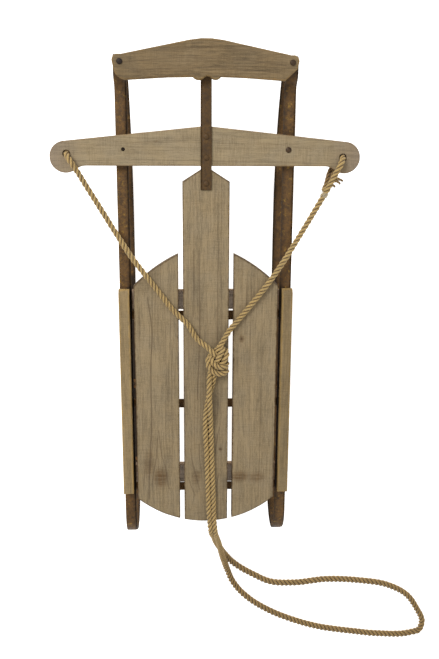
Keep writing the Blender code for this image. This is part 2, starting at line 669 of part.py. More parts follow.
# ---------------------------------------------------------------- assembly
def build_frame():
    """Runners, crossbars, battens, slats and rails, screwed and riveted together."""
    runners = {side: runner(side, hand) for side, hand in SIDES}
    crossbars = {place: crossbar(place, y) for place, y in CROSSBAR_Y.items()}
    slats = {"left": outer_slat("left", -1), "centre": centre_slat(),
             "right": outer_slat("right", 1)}
    rails = {side: rail(side, hand) for side, hand in SIDES}

    slat_x = {"left": -(SLAT_INNER + SLAT_OUTER) / 2, "centre": 0.0,
              "right": (SLAT_INNER + SLAT_OUTER) / 2}
    for place, y in BATTEN_Y.items():
        board = batten(place, y)
        for slat, x in slat_x.items():
            screw_from_below(f"{place}_{slat}_slat_screw", x, y, BAND_TOP - BATTEN_THICK,
                             DECK_TOP - SLAT_SCREW_COVER, [board], slats[slat])
    crossbar_bottom = BAND_TOP - 2 * STEEL - GAP
    for place, y in CROSSBAR_Y.items():
        for side, hand in SIDES:
            screw_from_below(f"{place}_{side}_rail_screw", hand * RAIL_SCREW_X, y,
                             crossbar_bottom, DECK_TOP - RAIL_SCREW_COVER,
                             [crossbars[place], runners[side]], rails[side])
            foot_rivet(f"{place}_{side}_foot_rivet", hand * FOOT_RIVET_X, y,
                       [crossbars[place], runners[side]])
    return runners, slats


def build_front(runners, slats):
    """The bumper on the runners' tips, and the steering bar and strap that turn together."""
    board = bumper()
    tip_bottom = STRAP_TOP - STEEL
    for side, hand in SIDES:
        bolted(f"{side}_bumper", hand * BUMPER_BOLT[0], BUMPER_BOLT[1], BUMPER_TOP, tip_bottom,
               [board, runners[side]])
        runner_slot(runners[side], hand)

    bar = steering_bar()
    strap = steering_strap()
    moving = [bar, strap] + runner_bolts(bar)
    for place, y in STRAP_BOLT_Y.items():
        moving += bolted(f"{place}_strap", 0, y, STRAP_TOP, DECK_BOTTOM, [strap, bar])
    washer_bottom = DECK_BOTTOM - GAP - 0.0012
    moving += bolted("pivot", 0, PIVOT_Y, STRAP_TOP, washer_bottom, [strap, slats["centre"]])
    inner, outer = BOLT_RADIUS + GAP, 0.008
    profile = [(outer, 0.0012), (outer, 0), (inner, 0), (inner, 0.0012)]
    place = (0, PIVOT_Y, washer_bottom)
    moving.append(turned("pivot_washer", profile, place, "bolt_steel", ring=True))
    return moving


def hang_on_pivot(pieces):
    """Parents the pieces that turn to an empty on the steering axis, leaving them in place."""
    pivot = bpy.data.objects.new("steering_pivot", None)
    PARTS.objects.link(pivot)
    place = Matrix.Translation((0, PIVOT_Y, DECK_TOP))
    pivot.matrix_world = place
    for piece in pieces:
        piece.parent = pivot
        piece.matrix_parent_inverse = place.inverted()


SIDES = (("left", -1), ("right", 1))
clear_scene()
PARTS = make_collection("runner_sled")
CUTTERS = make_collection("cutters")
MATERIALS = {look: make_material(look) for look in LOOKS}

FRAME_RUNNERS, FRAME_SLATS = build_frame()
STEERING = build_front(FRAME_RUNNERS, FRAME_SLATS)
hang_on_pivot(STEERING + rope())
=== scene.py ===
"""The look of the steerable runner sled: weathered boards, rusty flat steel and laid rope.

Metres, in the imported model's frame: +Z up, +Y the front, the origin on the ground.
"""
import math

import bmesh
import bpy
import numpy as np
from mathutils import Matrix, Vector, noise


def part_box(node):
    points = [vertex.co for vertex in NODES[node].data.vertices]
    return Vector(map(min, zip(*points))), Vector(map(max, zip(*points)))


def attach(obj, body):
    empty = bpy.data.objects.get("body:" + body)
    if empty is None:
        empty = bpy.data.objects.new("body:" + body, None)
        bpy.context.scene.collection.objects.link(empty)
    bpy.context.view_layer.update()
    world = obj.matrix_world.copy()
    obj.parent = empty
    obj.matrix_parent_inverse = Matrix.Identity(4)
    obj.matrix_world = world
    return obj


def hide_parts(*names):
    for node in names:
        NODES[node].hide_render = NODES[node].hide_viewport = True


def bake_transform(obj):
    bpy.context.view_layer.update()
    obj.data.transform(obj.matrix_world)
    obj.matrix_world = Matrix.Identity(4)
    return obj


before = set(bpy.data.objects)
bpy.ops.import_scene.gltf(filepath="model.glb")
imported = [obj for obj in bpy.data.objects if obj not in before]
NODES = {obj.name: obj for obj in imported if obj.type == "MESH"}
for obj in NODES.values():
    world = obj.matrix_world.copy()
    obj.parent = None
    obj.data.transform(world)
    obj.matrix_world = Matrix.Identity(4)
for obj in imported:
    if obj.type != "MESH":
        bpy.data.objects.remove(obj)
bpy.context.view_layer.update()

SIDES = (("left", -1), ("right", 1))

# ---------------------------------------------------------------- dimensions, as in the CAD
STEEL = 0.003
BOARD = 0.018
BAND_TOP = 0.1297
DECK_BOTTOM = 0.1300
DECK_TOP = DECK_BOTTOM + BOARD
STRAP_BOTTOM = 0.1483
STRAP_TOP = STRAP_BOTTOM + STEEL
BUMPER_BOTTOM = 0.1516
BUMPER_TOP = BUMPER_BOTTOM + BOARD
GAP = 0.0003

RUNNER_INNER, RUNNER_OUTER = 0.1370, 0.1587
TAIL_CENTRE_Y = -0.4108
SWEEP_START_Y = 0.144
SWEEP = ((0.480, 32.4), (0.115, 41.0))
TIP_FLAT_END_Y = 0.427
JOGGLE_TURN = 60.0

SLAT_INNER, SLAT_OUTER = 0.0505, 0.1325
CENTRE_SLAT_HALF = 0.042
CENTRE_SLAT_SHOULDER_Y, CENTRE_SLAT_APEX_Y = 0.2382, 0.2650
REAR_ARC_CENTRE_Y, REAR_ARC_RADIUS = -0.2225, 0.200
SLAT_NOSE_INNER_Y, SLAT_NOSE_OUTER_Y, SLAT_NOSE_RADIUS = 0.1092, 0.0505, 0.290

RAIL_INNER, RAIL_OUTER = 0.1395, 0.1590
RAIL_FRONT_Y, RAIL_REAR_Y, RAIL_CHAMFER = 0.043, -0.3625, 0.0085

CROSSBAR_Y = {"front": -0.0085, "middle": -0.1824, "rear": -0.3557}
CROSSBAR_WIDTH = 0.0182
CROSSBAR_FLAT_X, CROSSBAR_STEP_X = 0.1305, 0.1360
LEG_X, LEG_BEND, FOOT_INNER_X = 0.1555, 0.005, 0.140
BATTEN_Y = {"front": 0.0212, "rear": -0.3272}
BATTEN_WIDTH, BATTEN_THICK = 0.036, 0.015

BAR_APEX_Y, BAR_REAR_Y = 0.3340, 0.2655
BAR_END, BAR_END_RADIUS, BAR_FILLET = (0.2455, 0.2807), 0.0274, 0.030
ROPE_HOLE = {"left": (-0.2433, 0.2861), "right": (0.2425, 0.2811)}
ROPE_HOLE_RADIUS = 0.0065
RUNNER_BOLT = (0.1449, 0.2938)
BOLT_RADIUS = 0.0025

STRAP_HALF, STRAP_FRONT_Y, STRAP_REAR_Y = 0.0097, 0.432, 0.2240

BUMPER_FRONT = [(0.009, 0.4757), (0.028, 0.4733), (0.143, 0.4500)]
BUMPER_END, BUMPER_END_RADIUS = (0.1463, 0.4395), 0.0110
BUMPER_LEFT_REACH = 0.0018      # the left end's wear stands a little further out
BUMPER_CUT = [(0.134, 0.4085), (0.154, 0.427)]
BUMPER_ROUND, BUMPER_ROUND_RADIUS = (-0.1355, 0.4295), 0.0210
BUMPER_ARCH = [(0.102, 0.4107), (0.065, 0.4130)]
BUMPER_LOBES = ((0.0158, 0.018, 0.4142), (-0.0128, 0.020, 0.4138))
BUMPER_LOBE_DEPTH = 0.0048
BUMPER_NOTCH = (0.0010, 0.4157)

# ---------------------------------------------------------------- camera
CAMERA_PLACE = (-0.0419, 0.3292, 1.548)
CAMERA_UP = (0.0070, 0.9684, -0.2522)
CAMERA_BACK = (-0.0462, 0.2490, 0.9665)
LENS = 42.6                     # millimetres, on a 36 mm sensor


def set_camera():
    back = Vector(CAMERA_BACK).normalized()
    side = Vector(CAMERA_UP).cross(back).normalized()
    up = back.cross(side)
    data = bpy.data.cameras.new("camera")
    data.lens = LENS
    data.sensor_width = 36.0
    data.clip_start = 0.05
    camera = bpy.data.objects.new("camera", data)
    bpy.context.scene.collection.objects.link(camera)
    turn = Matrix((side, up, back)).transposed().to_4x4()
    camera.matrix_world = Matrix.Translation(CAMERA_PLACE) @ turn
    bpy.context.scene.camera = camera


# ---------------------------------------------------------------- material building
class Shade:
    """A material being built, node by node."""

    def __init__(self):
        self.material = bpy.data.materials.new("look")
        self.material.use_nodes = True
        self.tree = self.material.node_tree
        self.shader = self.tree.nodes["Principled BSDF"]

    def node(self, kind, settings=None, inputs=None):
        made = self.tree.nodes.new("ShaderNode" + kind)
        for key, value in (settings or {}).items():
            setattr(made, key, value)
        for key, value in (inputs or {}).items():
            self.feed(made.inputs[key], value)
        return made

    def feed(self, socket, value):
        if isinstance(value, bpy.types.NodeSocket):
            self.tree.links.new(value, socket)
        elif socket.type == "RGBA" and len(value) == 3:
            socket.default_value = (*value, 1.0)
        else:
            socket.default_value = value

    def math(self, operation, *values):
        return self.node("Math", {"operation": operation}, dict(enumerate(values))).outputs[0]

    def add(self, a, b):
        return self.math("ADD", a, b)

    def times(self, a, b):
        return self.math("MULTIPLY", a, b)

    def total(self, *parts):
        """The sum of values, each times its weight."""
        whole = 0.0
        for value, weight in parts:
            whole = self.math("MULTIPLY_ADD", value, weight, whole)
        return whole

    def here(self):
        return self.node("TexCoord").outputs["Object"]

    def stretch(self, vector, scale):
        return self.node("VectorMath", {"operation": "MULTIPLY"}, {0: vector, 1: scale}).outputs[0]

    def turn(self, vector, angle):
        return self.node("Mapping", None, {"Vector": vector, "Rotation": (0, 0, angle)}).outputs[0]

    def noise(self, vector, scale, detail=3.0, rough=0.6, distortion=0.0):
        return self.node("TexNoise", None, {
            "Vector": vector, "Scale": scale, "Detail": detail, "Roughness": rough,
            "Distortion": distortion}).outputs[0]

    def waves(self, vector, period, distortion, detail_scale=1.0):
        """Bands across the first coordinate, 0 to 1."""
        return self.node("TexWave", {"bands_direction": "X"}, {
            "Vector": vector, "Scale": math.pi / 10 / period, "Distortion": distortion,
            "Detail": 2.0, "Detail Scale": detail_scale}).outputs[1]

    def attribute(self, name):
        return self.node("Attribute", {"attribute_name": name}).outputs["Fac"]

    def band(self, value, low, high, out_low=0.0, out_high=1.0):
        """A value's range taken to another range, smoothly and clamped."""
        return self.node("MapRange", {"interpolation_type": "SMOOTHSTEP"}, {
            0: value, 1: low, 2: high, 3: out_low, 4: out_high}).outputs[0]

    def ramp(self, value, stops):
        made = self.node("ValToRGB", None, {"Fac": value})
        elements = made.color_ramp.elements
        while len(elements) < len(stops):
            elements.new(0.5)
        for element, (place, colour) in zip(elements, stops):
            element.position = place
            element.color = (*colour, 1.0)
        return made.outputs[0]

    def mix(self, share, a, b, kind="MIX"):
        made = self.node("Mix", {"data_type": "RGBA", "blend_type": kind}, {0: share, 6: a, 7: b})
        return made.outputs[2]

    def tint(self, share, colour, by):
        """A colour multiplied by another, for a share from none to all."""
        return self.mix(share, colour, by, "MULTIPLY")

    def grey(self, value):
        return self.node("CombineColor", None, {0: value, 1: value, 2: value}).outputs[0]

    def bump(self, height, strength, distance):
        inputs = {"Strength": strength, "Distance": distance, "Height": height}
        return self.node("Bump", None, inputs).outputs[0]

    def done(self, inputs):
        """Sets the shader's inputs and gives the finished material."""
        for name, value in inputs.items():
            self.feed(self.shader.inputs[name], value)
        return self.material


WHITE = (1.0, 1.0, 1.0)


def scaled(colour, factor):
    return tuple(c * factor for c in colour)


# What multiplies the wood's colour, where each mark is strongest.
COOL_PATCH = (0.93, 0.98, 1.10)
SAW_MARK = (0.70, 0.68, 0.66)
GROWTH_RING = (0.52, 0.45, 0.38)
RUST_STAIN = (0.43, 0.30, 0.19)
GREY_END = (0.88, 0.87, 0.98)
DIRTY_RIM = (0.40, 0.33, 0.26)
# A painted highlight along the bumper's edges, lighter than the wood.
GOLD_HIGHLIGHT_RIM = (1.25, 1.12, 0.82)
GRAIN_LINE = (0.085, 0.055, 0.032)      # a colour of its own
RING_PERIOD = 0.0062
PAINT_STOPS = ((0.0, -2.6), (0.38, -0.7), (0.62, 0.5), (1.0, 1.7))


def wood(colour, along, rings=0.35, contrast=1.0, grey_ends=False, rim=DIRTY_RIM, sawn=0.45):
    """A weathered softwood board: fibres and streaks along it, saw marks across it, dark
    drawn grain lines, stains, and a rim along its edges that is dirt on some boards and a painted
    highlight on others."""
    s = Shade()
    here = s.here()
    on_x = along == "x"
    grain = s.stretch(here, (0.06, 1, 1) if on_x else (1, 0.06, 1))
    loose = s.stretch(here, (0.12, 1, 1) if on_x else (1, 0.12, 1))
    across = s.stretch(here, (1, 0.06, 1) if on_x else (0.06, 1, 1))
    fibres = s.noise(grain, 1500, 3, 0.7)
    streaks = s.noise(grain, 430, 4, 0.65, 0.3)
    broad = s.noise(loose, 60, 4, 0.6, 0.5)
    blotch = s.noise(here, 28, 3, 0.55)
    saw = s.noise(across, 620, 3, 0.65)
    specks = s.noise(here, 950, 3, 0.75)

    sideways = {0: here, 1: (0, 1, 0) if on_x else (1, 0, 0)}
    line = s.node("VectorMath", {"operation": "DOT_PRODUCT"}, sideways).outputs["Value"]
    warp = s.times(s.add(s.noise(loose, 22, 2, 0.5), -0.5), 0.030)
    ring_at = s.node("CombineXYZ", None, {0: s.add(line, warp)}).outputs[0]
    ring = s.math("POWER", s.waves(ring_at, RING_PERIOD, 0.6, 2.0), 5.0)
    ring = s.times(ring, s.band(s.noise(loose, 34, 2), 0.42, 0.62))

    tone = s.total((streaks, 0.34), (fibres, 0.28), (broad, 0.26), (specks, 0.34))
    spread = 0.16 * contrast
    paint = s.ramp(s.band(tone, 0.44, 0.78), [
        (place, scaled(colour, 1 + light * spread)) for place, light in PAINT_STOPS])
    cool = s.tint(s.band(blotch, 0.35, 0.7, 0.0, 0.5), paint, COOL_PATCH)
    patchy = s.band(s.noise(here, 45, 3, 0.6), 0.38, 0.62, 0.25, 1.0)
    cuts = s.times(s.band(saw, 0.42, 0.62, 0.0, sawn), patchy)
    ringed = s.tint(s.times(ring, rings), s.tint(cuts, cool, SAW_MARK), GROWTH_RING)
    toned = s.tint(1.0, ringed, s.grey(s.attribute("tone")))

    figure = s.times(s.attribute("figure"), s.band(streaks, 0.3, 0.55, 0.6, 1.0))
    lined = s.mix(figure, toned, GRAIN_LINE)
    stain = s.times(s.attribute("stain"), s.band(streaks, 0.30, 0.55, 0.45, 1.0))
    stain = s.times(stain, s.band(saw, 0.38, 0.58, 0.55, 1.0))
    final = s.tint(stain, lined, RUST_STAIN)
    if grey_ends:
        final = s.tint(s.attribute("ends"), final, GREY_END)
    # Near the outline, the rim colour: dirt on the slats, battens and bar, a painted highlight on
    # the rails and bumper.
    ragged = s.total((s.attribute("edge"), 1.0), (s.noise(here, 120, 3), 0.8))
    final = s.tint(1.0, final, s.mix(s.band(ragged, 0.40, 0.95), rim, WHITE))

    height = s.total((fibres, 0.35), (streaks, 0.65), (saw, 0.45), (figure, -0.6))
    return s.done({"Base Color": final, "Roughness": s.band(streaks, 0.3, 0.7, 0.72, 0.92),
                   "Normal": s.bump(height, 0.6, 0.0006), "Specular IOR Level": 0.28})


def rust(deep, brown, gold, gold_share, metallic=0.25, rough=0.62):
    """Old flat steel: brown rust in patches, yellow where it is fresh, pits, and a painted shade
    read from an attribute.
    """
    s = Shade()
    here = s.here()
    patches = s.noise(here, 46, 5, 0.66, 0.7)
    mottle = s.noise(here, 210, 4, 0.7, 0.4)
    grit = s.noise(here, 1300, 3, 0.6)
    pits = s.node("TexVoronoi", None, {"Vector": here, "Scale": 620.0}).outputs[0]
    pitted = s.band(pits, 0.10, 0.34)
    base = s.ramp(s.total((patches, 0.7), (mottle, 0.3)), [
        (0.30, deep), (0.50, brown), (0.64, scaled(brown, 1.25)), (0.80, gold)])
    fresh = s.band(s.noise(here, 85, 4, 0.7), 0.56, 0.70, 0.0, gold_share)
    coloured = s.mix(fresh, base, gold)
    speckled = s.mix(s.band(mottle, 0.38, 0.62, 0.45, 0.0), coloured, scaled(deep, 0.75))
    dusted = s.tint(s.band(grit, 0.35, 0.7, 0.35, 0.0), speckled, (0.55, 0.50, 0.45))
    worn = s.tint(1.0, dusted, s.mix(pitted, (0.45, 0.40, 0.36), WHITE))
    # Painted shade, where a piece's attribute asks for it: on the runners, in the gap beside the
    # rails and under the bumper.
    painted_shade_and_darkening = s.times(s.attribute("painted_shade_and_darkening"), s.band(mottle, 0.2, 0.7, 1.0, 0.6))
    height = s.total((mottle, 0.5), (grit, 0.22), (pitted, 0.35))
    return s.done({"Base Color": s.mix(painted_shade_and_darkening, worn, scaled(deep, 0.55)), "Metallic": metallic,
                   "Roughness": s.band(mottle, 0.3, 0.7, rough - 0.14, rough + 0.20),
                   "Normal": s.bump(height, 0.5, 0.0005), "Specular IOR Level": 0.4})


def fibre(gold, deep, yarn_angle, yarn_period=0.0013):
    """Laid rope: the strands' yarns cross them at an angle, and the grooves between strands
    are painted dark, a painted shade. The "lay" map runs round the rope and along it, both in
    metres."""
    s = Shade()
    here = s.here()
    yarn_way = s.turn(s.node("UVMap", {"uv_map": "lay"}).outputs[0], yarn_angle)
    yarns = s.waves(yarn_way, yarn_period, 0.8)
    hairs = s.noise(s.stretch(yarn_way, (1, 0.10, 1)), 2600, 3, 0.7)
    bright = s.total((hairs, 0.7), (yarns, 0.3))
    surface = s.ramp(s.band(bright, 0.25, 0.80), [
        (0.0, scaled(gold, 0.50)), (0.45, scaled(gold, 0.92)), (1.0, scaled(gold, 1.30))])
    patches = s.band(s.noise(here, 90, 3, 0.6), 0.4, 0.65, 0.0, 0.55)
    broad = s.band(s.noise(here, 12, 2, 0.5), 0.4, 0.65, 0.0, 0.35)
    faded = s.tint(broad, s.tint(patches, surface, (0.80, 0.84, 0.95)), (0.88, 0.84, 0.78))
    # Painted shade: darker deep in the grooves between strands, in the deep colour.
    grooved = s.mix(s.band(s.attribute("groove"), 0.18, 0.95), faded, deep)
    # Painted shade on the tail under the bar and its end strands, and darker rope on the ground,
    # from an attribute.
    final = s.tint(s.attribute("painted_shade_and_darkening"), grooved, (0.50, 0.43, 0.36))
    height = s.total((yarns, 0.55), (hairs, 0.45))
    return s.done({"Base Color": final, "Roughness": s.band(hairs, 0.3, 0.7, 0.72, 0.95),
                   "Normal": s.bump(height, 0.7, 0.0005), "Specular IOR Level": 0.25,
                   "Sheen Weight": 0.15, "Sheen Roughness": 0.6})


LOOKS = {
    "slat_wood": wood((0.282, 0.211, 0.118), "y", rings=0.40),
    # The rails' rim colour is a painted highlight along their edges.
    "rail_wood": wood((0.305, 0.218, 0.108), "y", rings=0.30, contrast=0.9,
                      rim=(1.50, 1.36, 0.95)),
    "bar_wood": wood((0.302, 0.232, 0.134), "x", rings=0.22, contrast=0.75, grey_ends=True,
                     rim=(0.86, 0.76, 0.66), sawn=0.62),
    "bumper_wood": wood((0.205, 0.143, 0.072), "x", rings=0.45, contrast=1.5, rim=GOLD_HIGHLIGHT_RIM),
    # Painted light: far lighter than the weathered wood's own colour, to make up for the shade
    # between the slats.
    "batten_wood": wood((0.72, 0.58, 0.45), "x", rings=0.4),
    "runner_steel": rust((0.046, 0.026, 0.012), (0.162, 0.085, 0.026), (0.470, 0.275, 0.046), 0.85),
    "strap_steel": rust((0.047, 0.025, 0.010), (0.104, 0.056, 0.017), (0.190, 0.108, 0.026), 0.40),
    # Painted light: lighter than the rust's own colour, to make up for the shade under the deck.
    "under_steel_painted_light": rust((0.085, 0.045, 0.016), (0.220, 0.112, 0.034), (0.380, 0.200, 0.052), 0.30),
    "bolt_steel": rust((0.032, 0.019, 0.010), (0.088, 0.050, 0.023), (0.160, 0.092, 0.034), 0.30,
                       metallic=0.35, rough=0.52),
    "black_steel": rust((0.012, 0.008, 0.006), (0.030, 0.018, 0.012), (0.060, 0.036, 0.020), 0.20,
                        metallic=0.3, rough=0.55),
    "rope_fibre": fibre((0.550, 0.375, 0.142), (0.110, 0.064, 0.026), 0.62),
    "twine_fibre": fibre((0.92, 0.82, 0.60), (0.55, 0.42, 0.26), -0.5, 0.0006),
}
for look_name, material in LOOKS.items():
    material.name = look_name


# ---------------------------------------------------------------- pieces
def make_object(name, verts, faces):
    mesh = bpy.data.meshes.new(name)
    mesh.from_pydata([tuple(v) for v in verts], [], [tuple(f) for f in faces])
    made = bpy.data.objects.new(name, mesh)
    bpy.context.scene.collection.objects.link(made)
    return made


def settle(piece, look, body, slot, *nodes):
    """Gives a piece its look, its body and the CAD nodes that it stands for."""
    mesh = piece.data
    mesh.materials.clear()
    mesh.materials.append(LOOKS[look])
    mesh.polygons.foreach_set("use_smooth", [True] * len(mesh.polygons))
    mesh.update()
    if body:
        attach(piece, body)
    if nodes:
        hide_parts(*nodes)


def edit(piece, work):
    """Runs a bmesh operation on a piece's mesh."""
    mesh = bmesh.new()
    mesh.from_mesh(piece.data)
    work(mesh)
    mesh.to_mesh(piece.data)
    mesh.free()


def write_attribute(piece, name, values):
    layer = piece.data.attributes.new(name, "FLOAT", "POINT")
    layer.data.foreach_set("value", np.asarray(values, dtype=np.float32))


def coordinates(piece):
    flat = np.empty(len(piece.data.vertices) * 3, dtype=np.float32)
    piece.data.vertices.foreach_get("co", flat)
    return flat.reshape(-1, 3).astype(float)


def arc(centre, radius, start, end, steps):
    """Points on a circle from one angle to another, in degrees, both ends included."""
    angles = [math.radians(start + (end - start) * i / steps) for i in range(steps + 1)]
    return [(centre[0] + radius * math.cos(a), centre[1] + radius * math.sin(a)) for a in angles]


def rounded(points, radius, steps=5):
    """A polyline with its inner corners eased."""
    out = [Vector(points[0])]
    for before, corner, after in zip(points, points[1:], points[2:]):
        before, corner, after = Vector(before), Vector(corner), Vector(after)
        back, ahead = before - corner, after - corner
        if back.angle(-ahead) < 0.02:
            out.append(corner)
            continue
        reach = min(radius, back.length * 0.45, ahead.length * 0.45)
        first, last = corner + back.normalized() * reach, corner + ahead.normalized() * reach
        for i in range(steps + 1):
            t = i / steps
            out.append(first * (1 - t) ** 2 + corner * 2 * t * (1 - t) + last * t ** 2)
    return out + [Vector(points[-1])]


# ---------------------------------------------------------------- boards
RIM = np.array([0.0, 0.00022, 0.0006, 0.0012, 0.0020])     # a worn edge's rows, from the side
FINE, COARSE = 0.0008, 0.0045   # a board's grid, across its grain and along it
GRAIN_RELIEF = 0.00022
LINE_DEPTH = 0.00035
SIDE_TIERS = 3
EDGE_REACH = 0.006              # how far in from its outline a board is dirty
GREY_END_X, GREY_END_RUN = 0.215, 0.05


def steps_between(low, high, step):
    """Places from low to high, closer together at both ends."""
    count = max(2, round((high - low - 2 * RIM[-1]) / step))
    middle = np.linspace(low + RIM[-1], high - RIM[-1], count + 1)
    return np.concatenate([low + RIM[:-1], middle, high - RIM[-2::-1]])


def row_places(rows, height):
    """The rows of the tallest column fitted to a column of another height."""
    tall = rows[-1]
    rim = min(RIM[-1], height / 4)
    near = rows * rim / RIM[-1]
    far = height - (tall - rows) * rim / RIM[-1]
    middle = rim + (rows - RIM[-1]) / (tall - 2 * RIM[-1]) * (height - 2 * rim)
    return np.where(rows <= RIM[-1], near, np.where(rows >= tall - RIM[-1], far, middle))


def distance_to(points, line, closed=True):
    """Each point's distance to a polyline, seen from above."""
    line = np.asarray(line, dtype=float)
    starts = line if closed else line[:-1]
    ends = np.roll(line, -1, axis=0) if closed else line[1:]
    along = ends - starts
    square = np.maximum((along ** 2).sum(axis=1), 1e-12)
    nearest = np.empty(len(points))
    for first in range(0, len(points), 4000):
        part = points[first:first + 4000, None, :2] - starts[None]
        t = np.clip((part * along[None]).sum(axis=2) / square, 0, 1)
        gap = part - along[None] * t[..., None]
        nearest[first:first + 4000] = np.sqrt((gap ** 2).sum(axis=2)).min(axis=1)
    return nearest


def relief(points, along, seed):
    """The raised and sunken grain of weathered wood, 0 to 1."""
    ways = (5.0, 320.0) if along == "x" else (320.0, 5.0)
    return np.array([0.5 + 0.5 * noise.noise((x * ways[0], y * ways[1], seed))
                     for x, y in points[:, :2]])


class Board:
    """A board with a curved outline, as a fine grid: columns along x, from a rear edge to a
    front edge, each a list of points in order of x."""

    def __init__(self, name, rear, front, bottom, top, along, seed, lines=(), stains=(),
                 rim=0.0016, shape=None, cuts=()):
        xs = steps_between(rear[0][0], rear[-1][0], COARSE if along == "x" else FINE)
        corners = [p[0] for p in list(rear) + list(front)]
        xs = np.unique(np.round(np.concatenate([xs, corners]), 6))
        xs = xs[np.concatenate([[True], np.diff(xs) > 0.00008])]
        lows = np.interp(xs, *zip(*rear))
        highs = np.maximum(np.interp(xs, *zip(*front)), lows)
        rows = steps_between(0.0, float((highs - lows).max()), FINE if along == "x" else COARSE)
        self.outline = np.concatenate([np.stack([xs, lows], 1), np.stack([xs, highs], 1)[::-1]])

        n, m = len(xs), len(rows)
        flat = np.concatenate([np.stack([np.full(m, x), low + row_places(rows, high - low)], 1)
                               for x, low, high in zip(xs, lows, highs)])
        depth = distance_to(flat, self.outline)
        worn = rim * (0.75 + 0.5 * np.array(
            [noise.noise((x * 45, y * 45, seed)) + 0.5 for x, y in flat]))
        fall = worn - np.sqrt(np.maximum(worn ** 2 - (worn - np.minimum(depth, worn)) ** 2, 0))
        rough = GRAIN_RELIEF * relief(flat, along, seed) * np.clip(depth / 0.001, 0, 1)
        up = top - fall - rough - LINE_DEPTH * drawn(flat, lines)
        down = bottom + fall + rough
        if shape:
            up = np.minimum(up, shape(flat[:, 0], flat[:, 1]))

        ring = [i * m for i in range(n)] + [(n - 1) * m + j for j in range(1, m)]
        ring += [i * m + m - 1 for i in range(n - 2, -1, -1)] + [j for j in range(m - 2, 0, -1)]
        ring = np.array(ring)
        count, size = n * m, len(ring)
        verts = [np.column_stack([flat, up]), np.column_stack([flat, down])]
        tiers = [ring]
        for tier in range(1, SIDE_TIERS):
            t = tier / SIDE_TIERS
            tiers.append(2 * count + (tier - 1) * size + np.arange(size))
            verts.append(np.column_stack([flat[ring], up[ring] * (1 - t) + down[ring] * t]))
        tiers.append(count + ring)
        faces = []
        for i in range(n - 1):
            for j in range(m - 1):
                a, b, c, d = i * m + j, (i + 1) * m + j, (i + 1) * m + j + 1, i * m + j + 1
                faces += [(a, b, c, d), (count + d, count + c, count + b, count + a)]
        for upper, lower in zip(tiers, tiers[1:]):
            for k in range(size):
                after = (k + 1) % size
                faces.append((upper[k], lower[k], lower[after], upper[after]))
        self.piece = make_object(name, np.concatenate(verts),
                                 [tuple(int(v) for v in f) for f in faces])
        edit(self.piece, weld)
        for x, y, radius, flare in cuts:
            self.drill(x, y, bottom, top, radius, flare)
        self.describe(lines, stains)

    def drill(self, x, y, bottom, top, radius, flare):
        """A round hole whose edges are worn wider than its middle."""
        past = 0.004
        cutter = lathe_object("cutter", [
            (0, top + past), (radius + flare, top + past), (radius + flare, top),
            (radius + flare * 0.3, top - flare * 0.7), (radius, top - flare * 1.8),
            (radius, bottom + flare * 1.8), (radius + flare, bottom),
            (radius + flare, bottom - past), (0, bottom - past)], (x, y), 40)
        modifier = self.piece.modifiers.new("hole", "BOOLEAN")
        modifier.operation = "DIFFERENCE"
        modifier.solver = "EXACT"
        modifier.object = cutter
        shown = self.piece.evaluated_get(bpy.context.evaluated_depsgraph_get())
        self.piece.data = bpy.data.meshes.new_from_object(shown)
        self.piece.modifiers.clear()
        bpy.data.objects.remove(cutter)

    def describe(self, lines, stains):
        """Writes what the wood's material reads: its edges, drawn lines, stains and ends."""
        points = coordinates(self.piece)
        stain = np.zeros(len(points))
        for strength, x, y, half_x, half_y in stains:
            away = ((points[:, 0] - x) / half_x) ** 2 + ((points[:, 1] - y) / half_y) ** 2
            stain = np.maximum(stain, strength * np.exp(-away ** 2))
        edge = distance_to(points, self.outline) / EDGE_REACH
        ends = (np.abs(points[:, 0]) - GREY_END_X) / GREY_END_RUN
        write_attribute(self.piece, "edge", np.clip(edge, 0, 1))
        write_attribute(self.piece, "figure", drawn(points, lines))
        write_attribute(self.piece, "stain", stain)
        write_attribute(self.piece, "ends", np.clip(ends, 0, 1))

    def settle(self, look, body, slot, node, tone=1.0):
        """Finishes the board; its tone is a number, or a function of x and y."""
        x, y, _ = coordinates(self.piece).T
        write_attribute(self.piece, "tone", tone(x, y) if callable(tone) else tone + 0 * x)
        settle(self.piece, look, body, slot, node)


def weld(mesh):
    bmesh.ops.remove_doubles(mesh, verts=mesh.verts, dist=0.00002)
    bmesh.ops.dissolve_degenerate(mesh, edges=mesh.edges, dist=0.00001)


def drawn(points, lines):
    """How strongly each point lies on one of the drawn grain lines."""
    total = np.zeros(len(points))
    for strength, width, line in lines:
        smooth = [tuple(p[:2]) for p in smooth_points([(*p, 0.0) for p in line], 0.004)]
        gap = distance_to(points, smooth, closed=False)
        total = np.maximum(total, strength * np.exp(-(gap / width) ** 2))
    return total


def rear_arc(low, high, steps=22):
    start, end = (math.degrees(-math.acos(x / REAR_ARC_RADIUS)) for x in (low, high))
    return arc((0, REAR_ARC_CENTRE_Y), REAR_ARC_RADIUS, start, end, steps)


def nose_arc(hand, steps=16):
    """The rounded front end of an outer slat, in order of x."""
    first = Vector((SLAT_INNER, SLAT_NOSE_INNER_Y))
    last = Vector((SLAT_OUTER, SLAT_NOSE_OUTER_Y))
    along = last - first
    side = Vector((along.y, -along.x)).normalized()
    centre = (first + last) / 2 + side * math.sqrt(
        SLAT_NOSE_RADIUS ** 2 - (along.length / 2) ** 2)
    start, end = (math.degrees(math.atan2(*(p - centre).yx)) for p in (first, last))
    return in_order([(hand * x, y) for x, y in arc(centre, SLAT_NOSE_RADIUS, start, end, steps)])


def in_order(points):
    return sorted(points, key=lambda p: p[0])


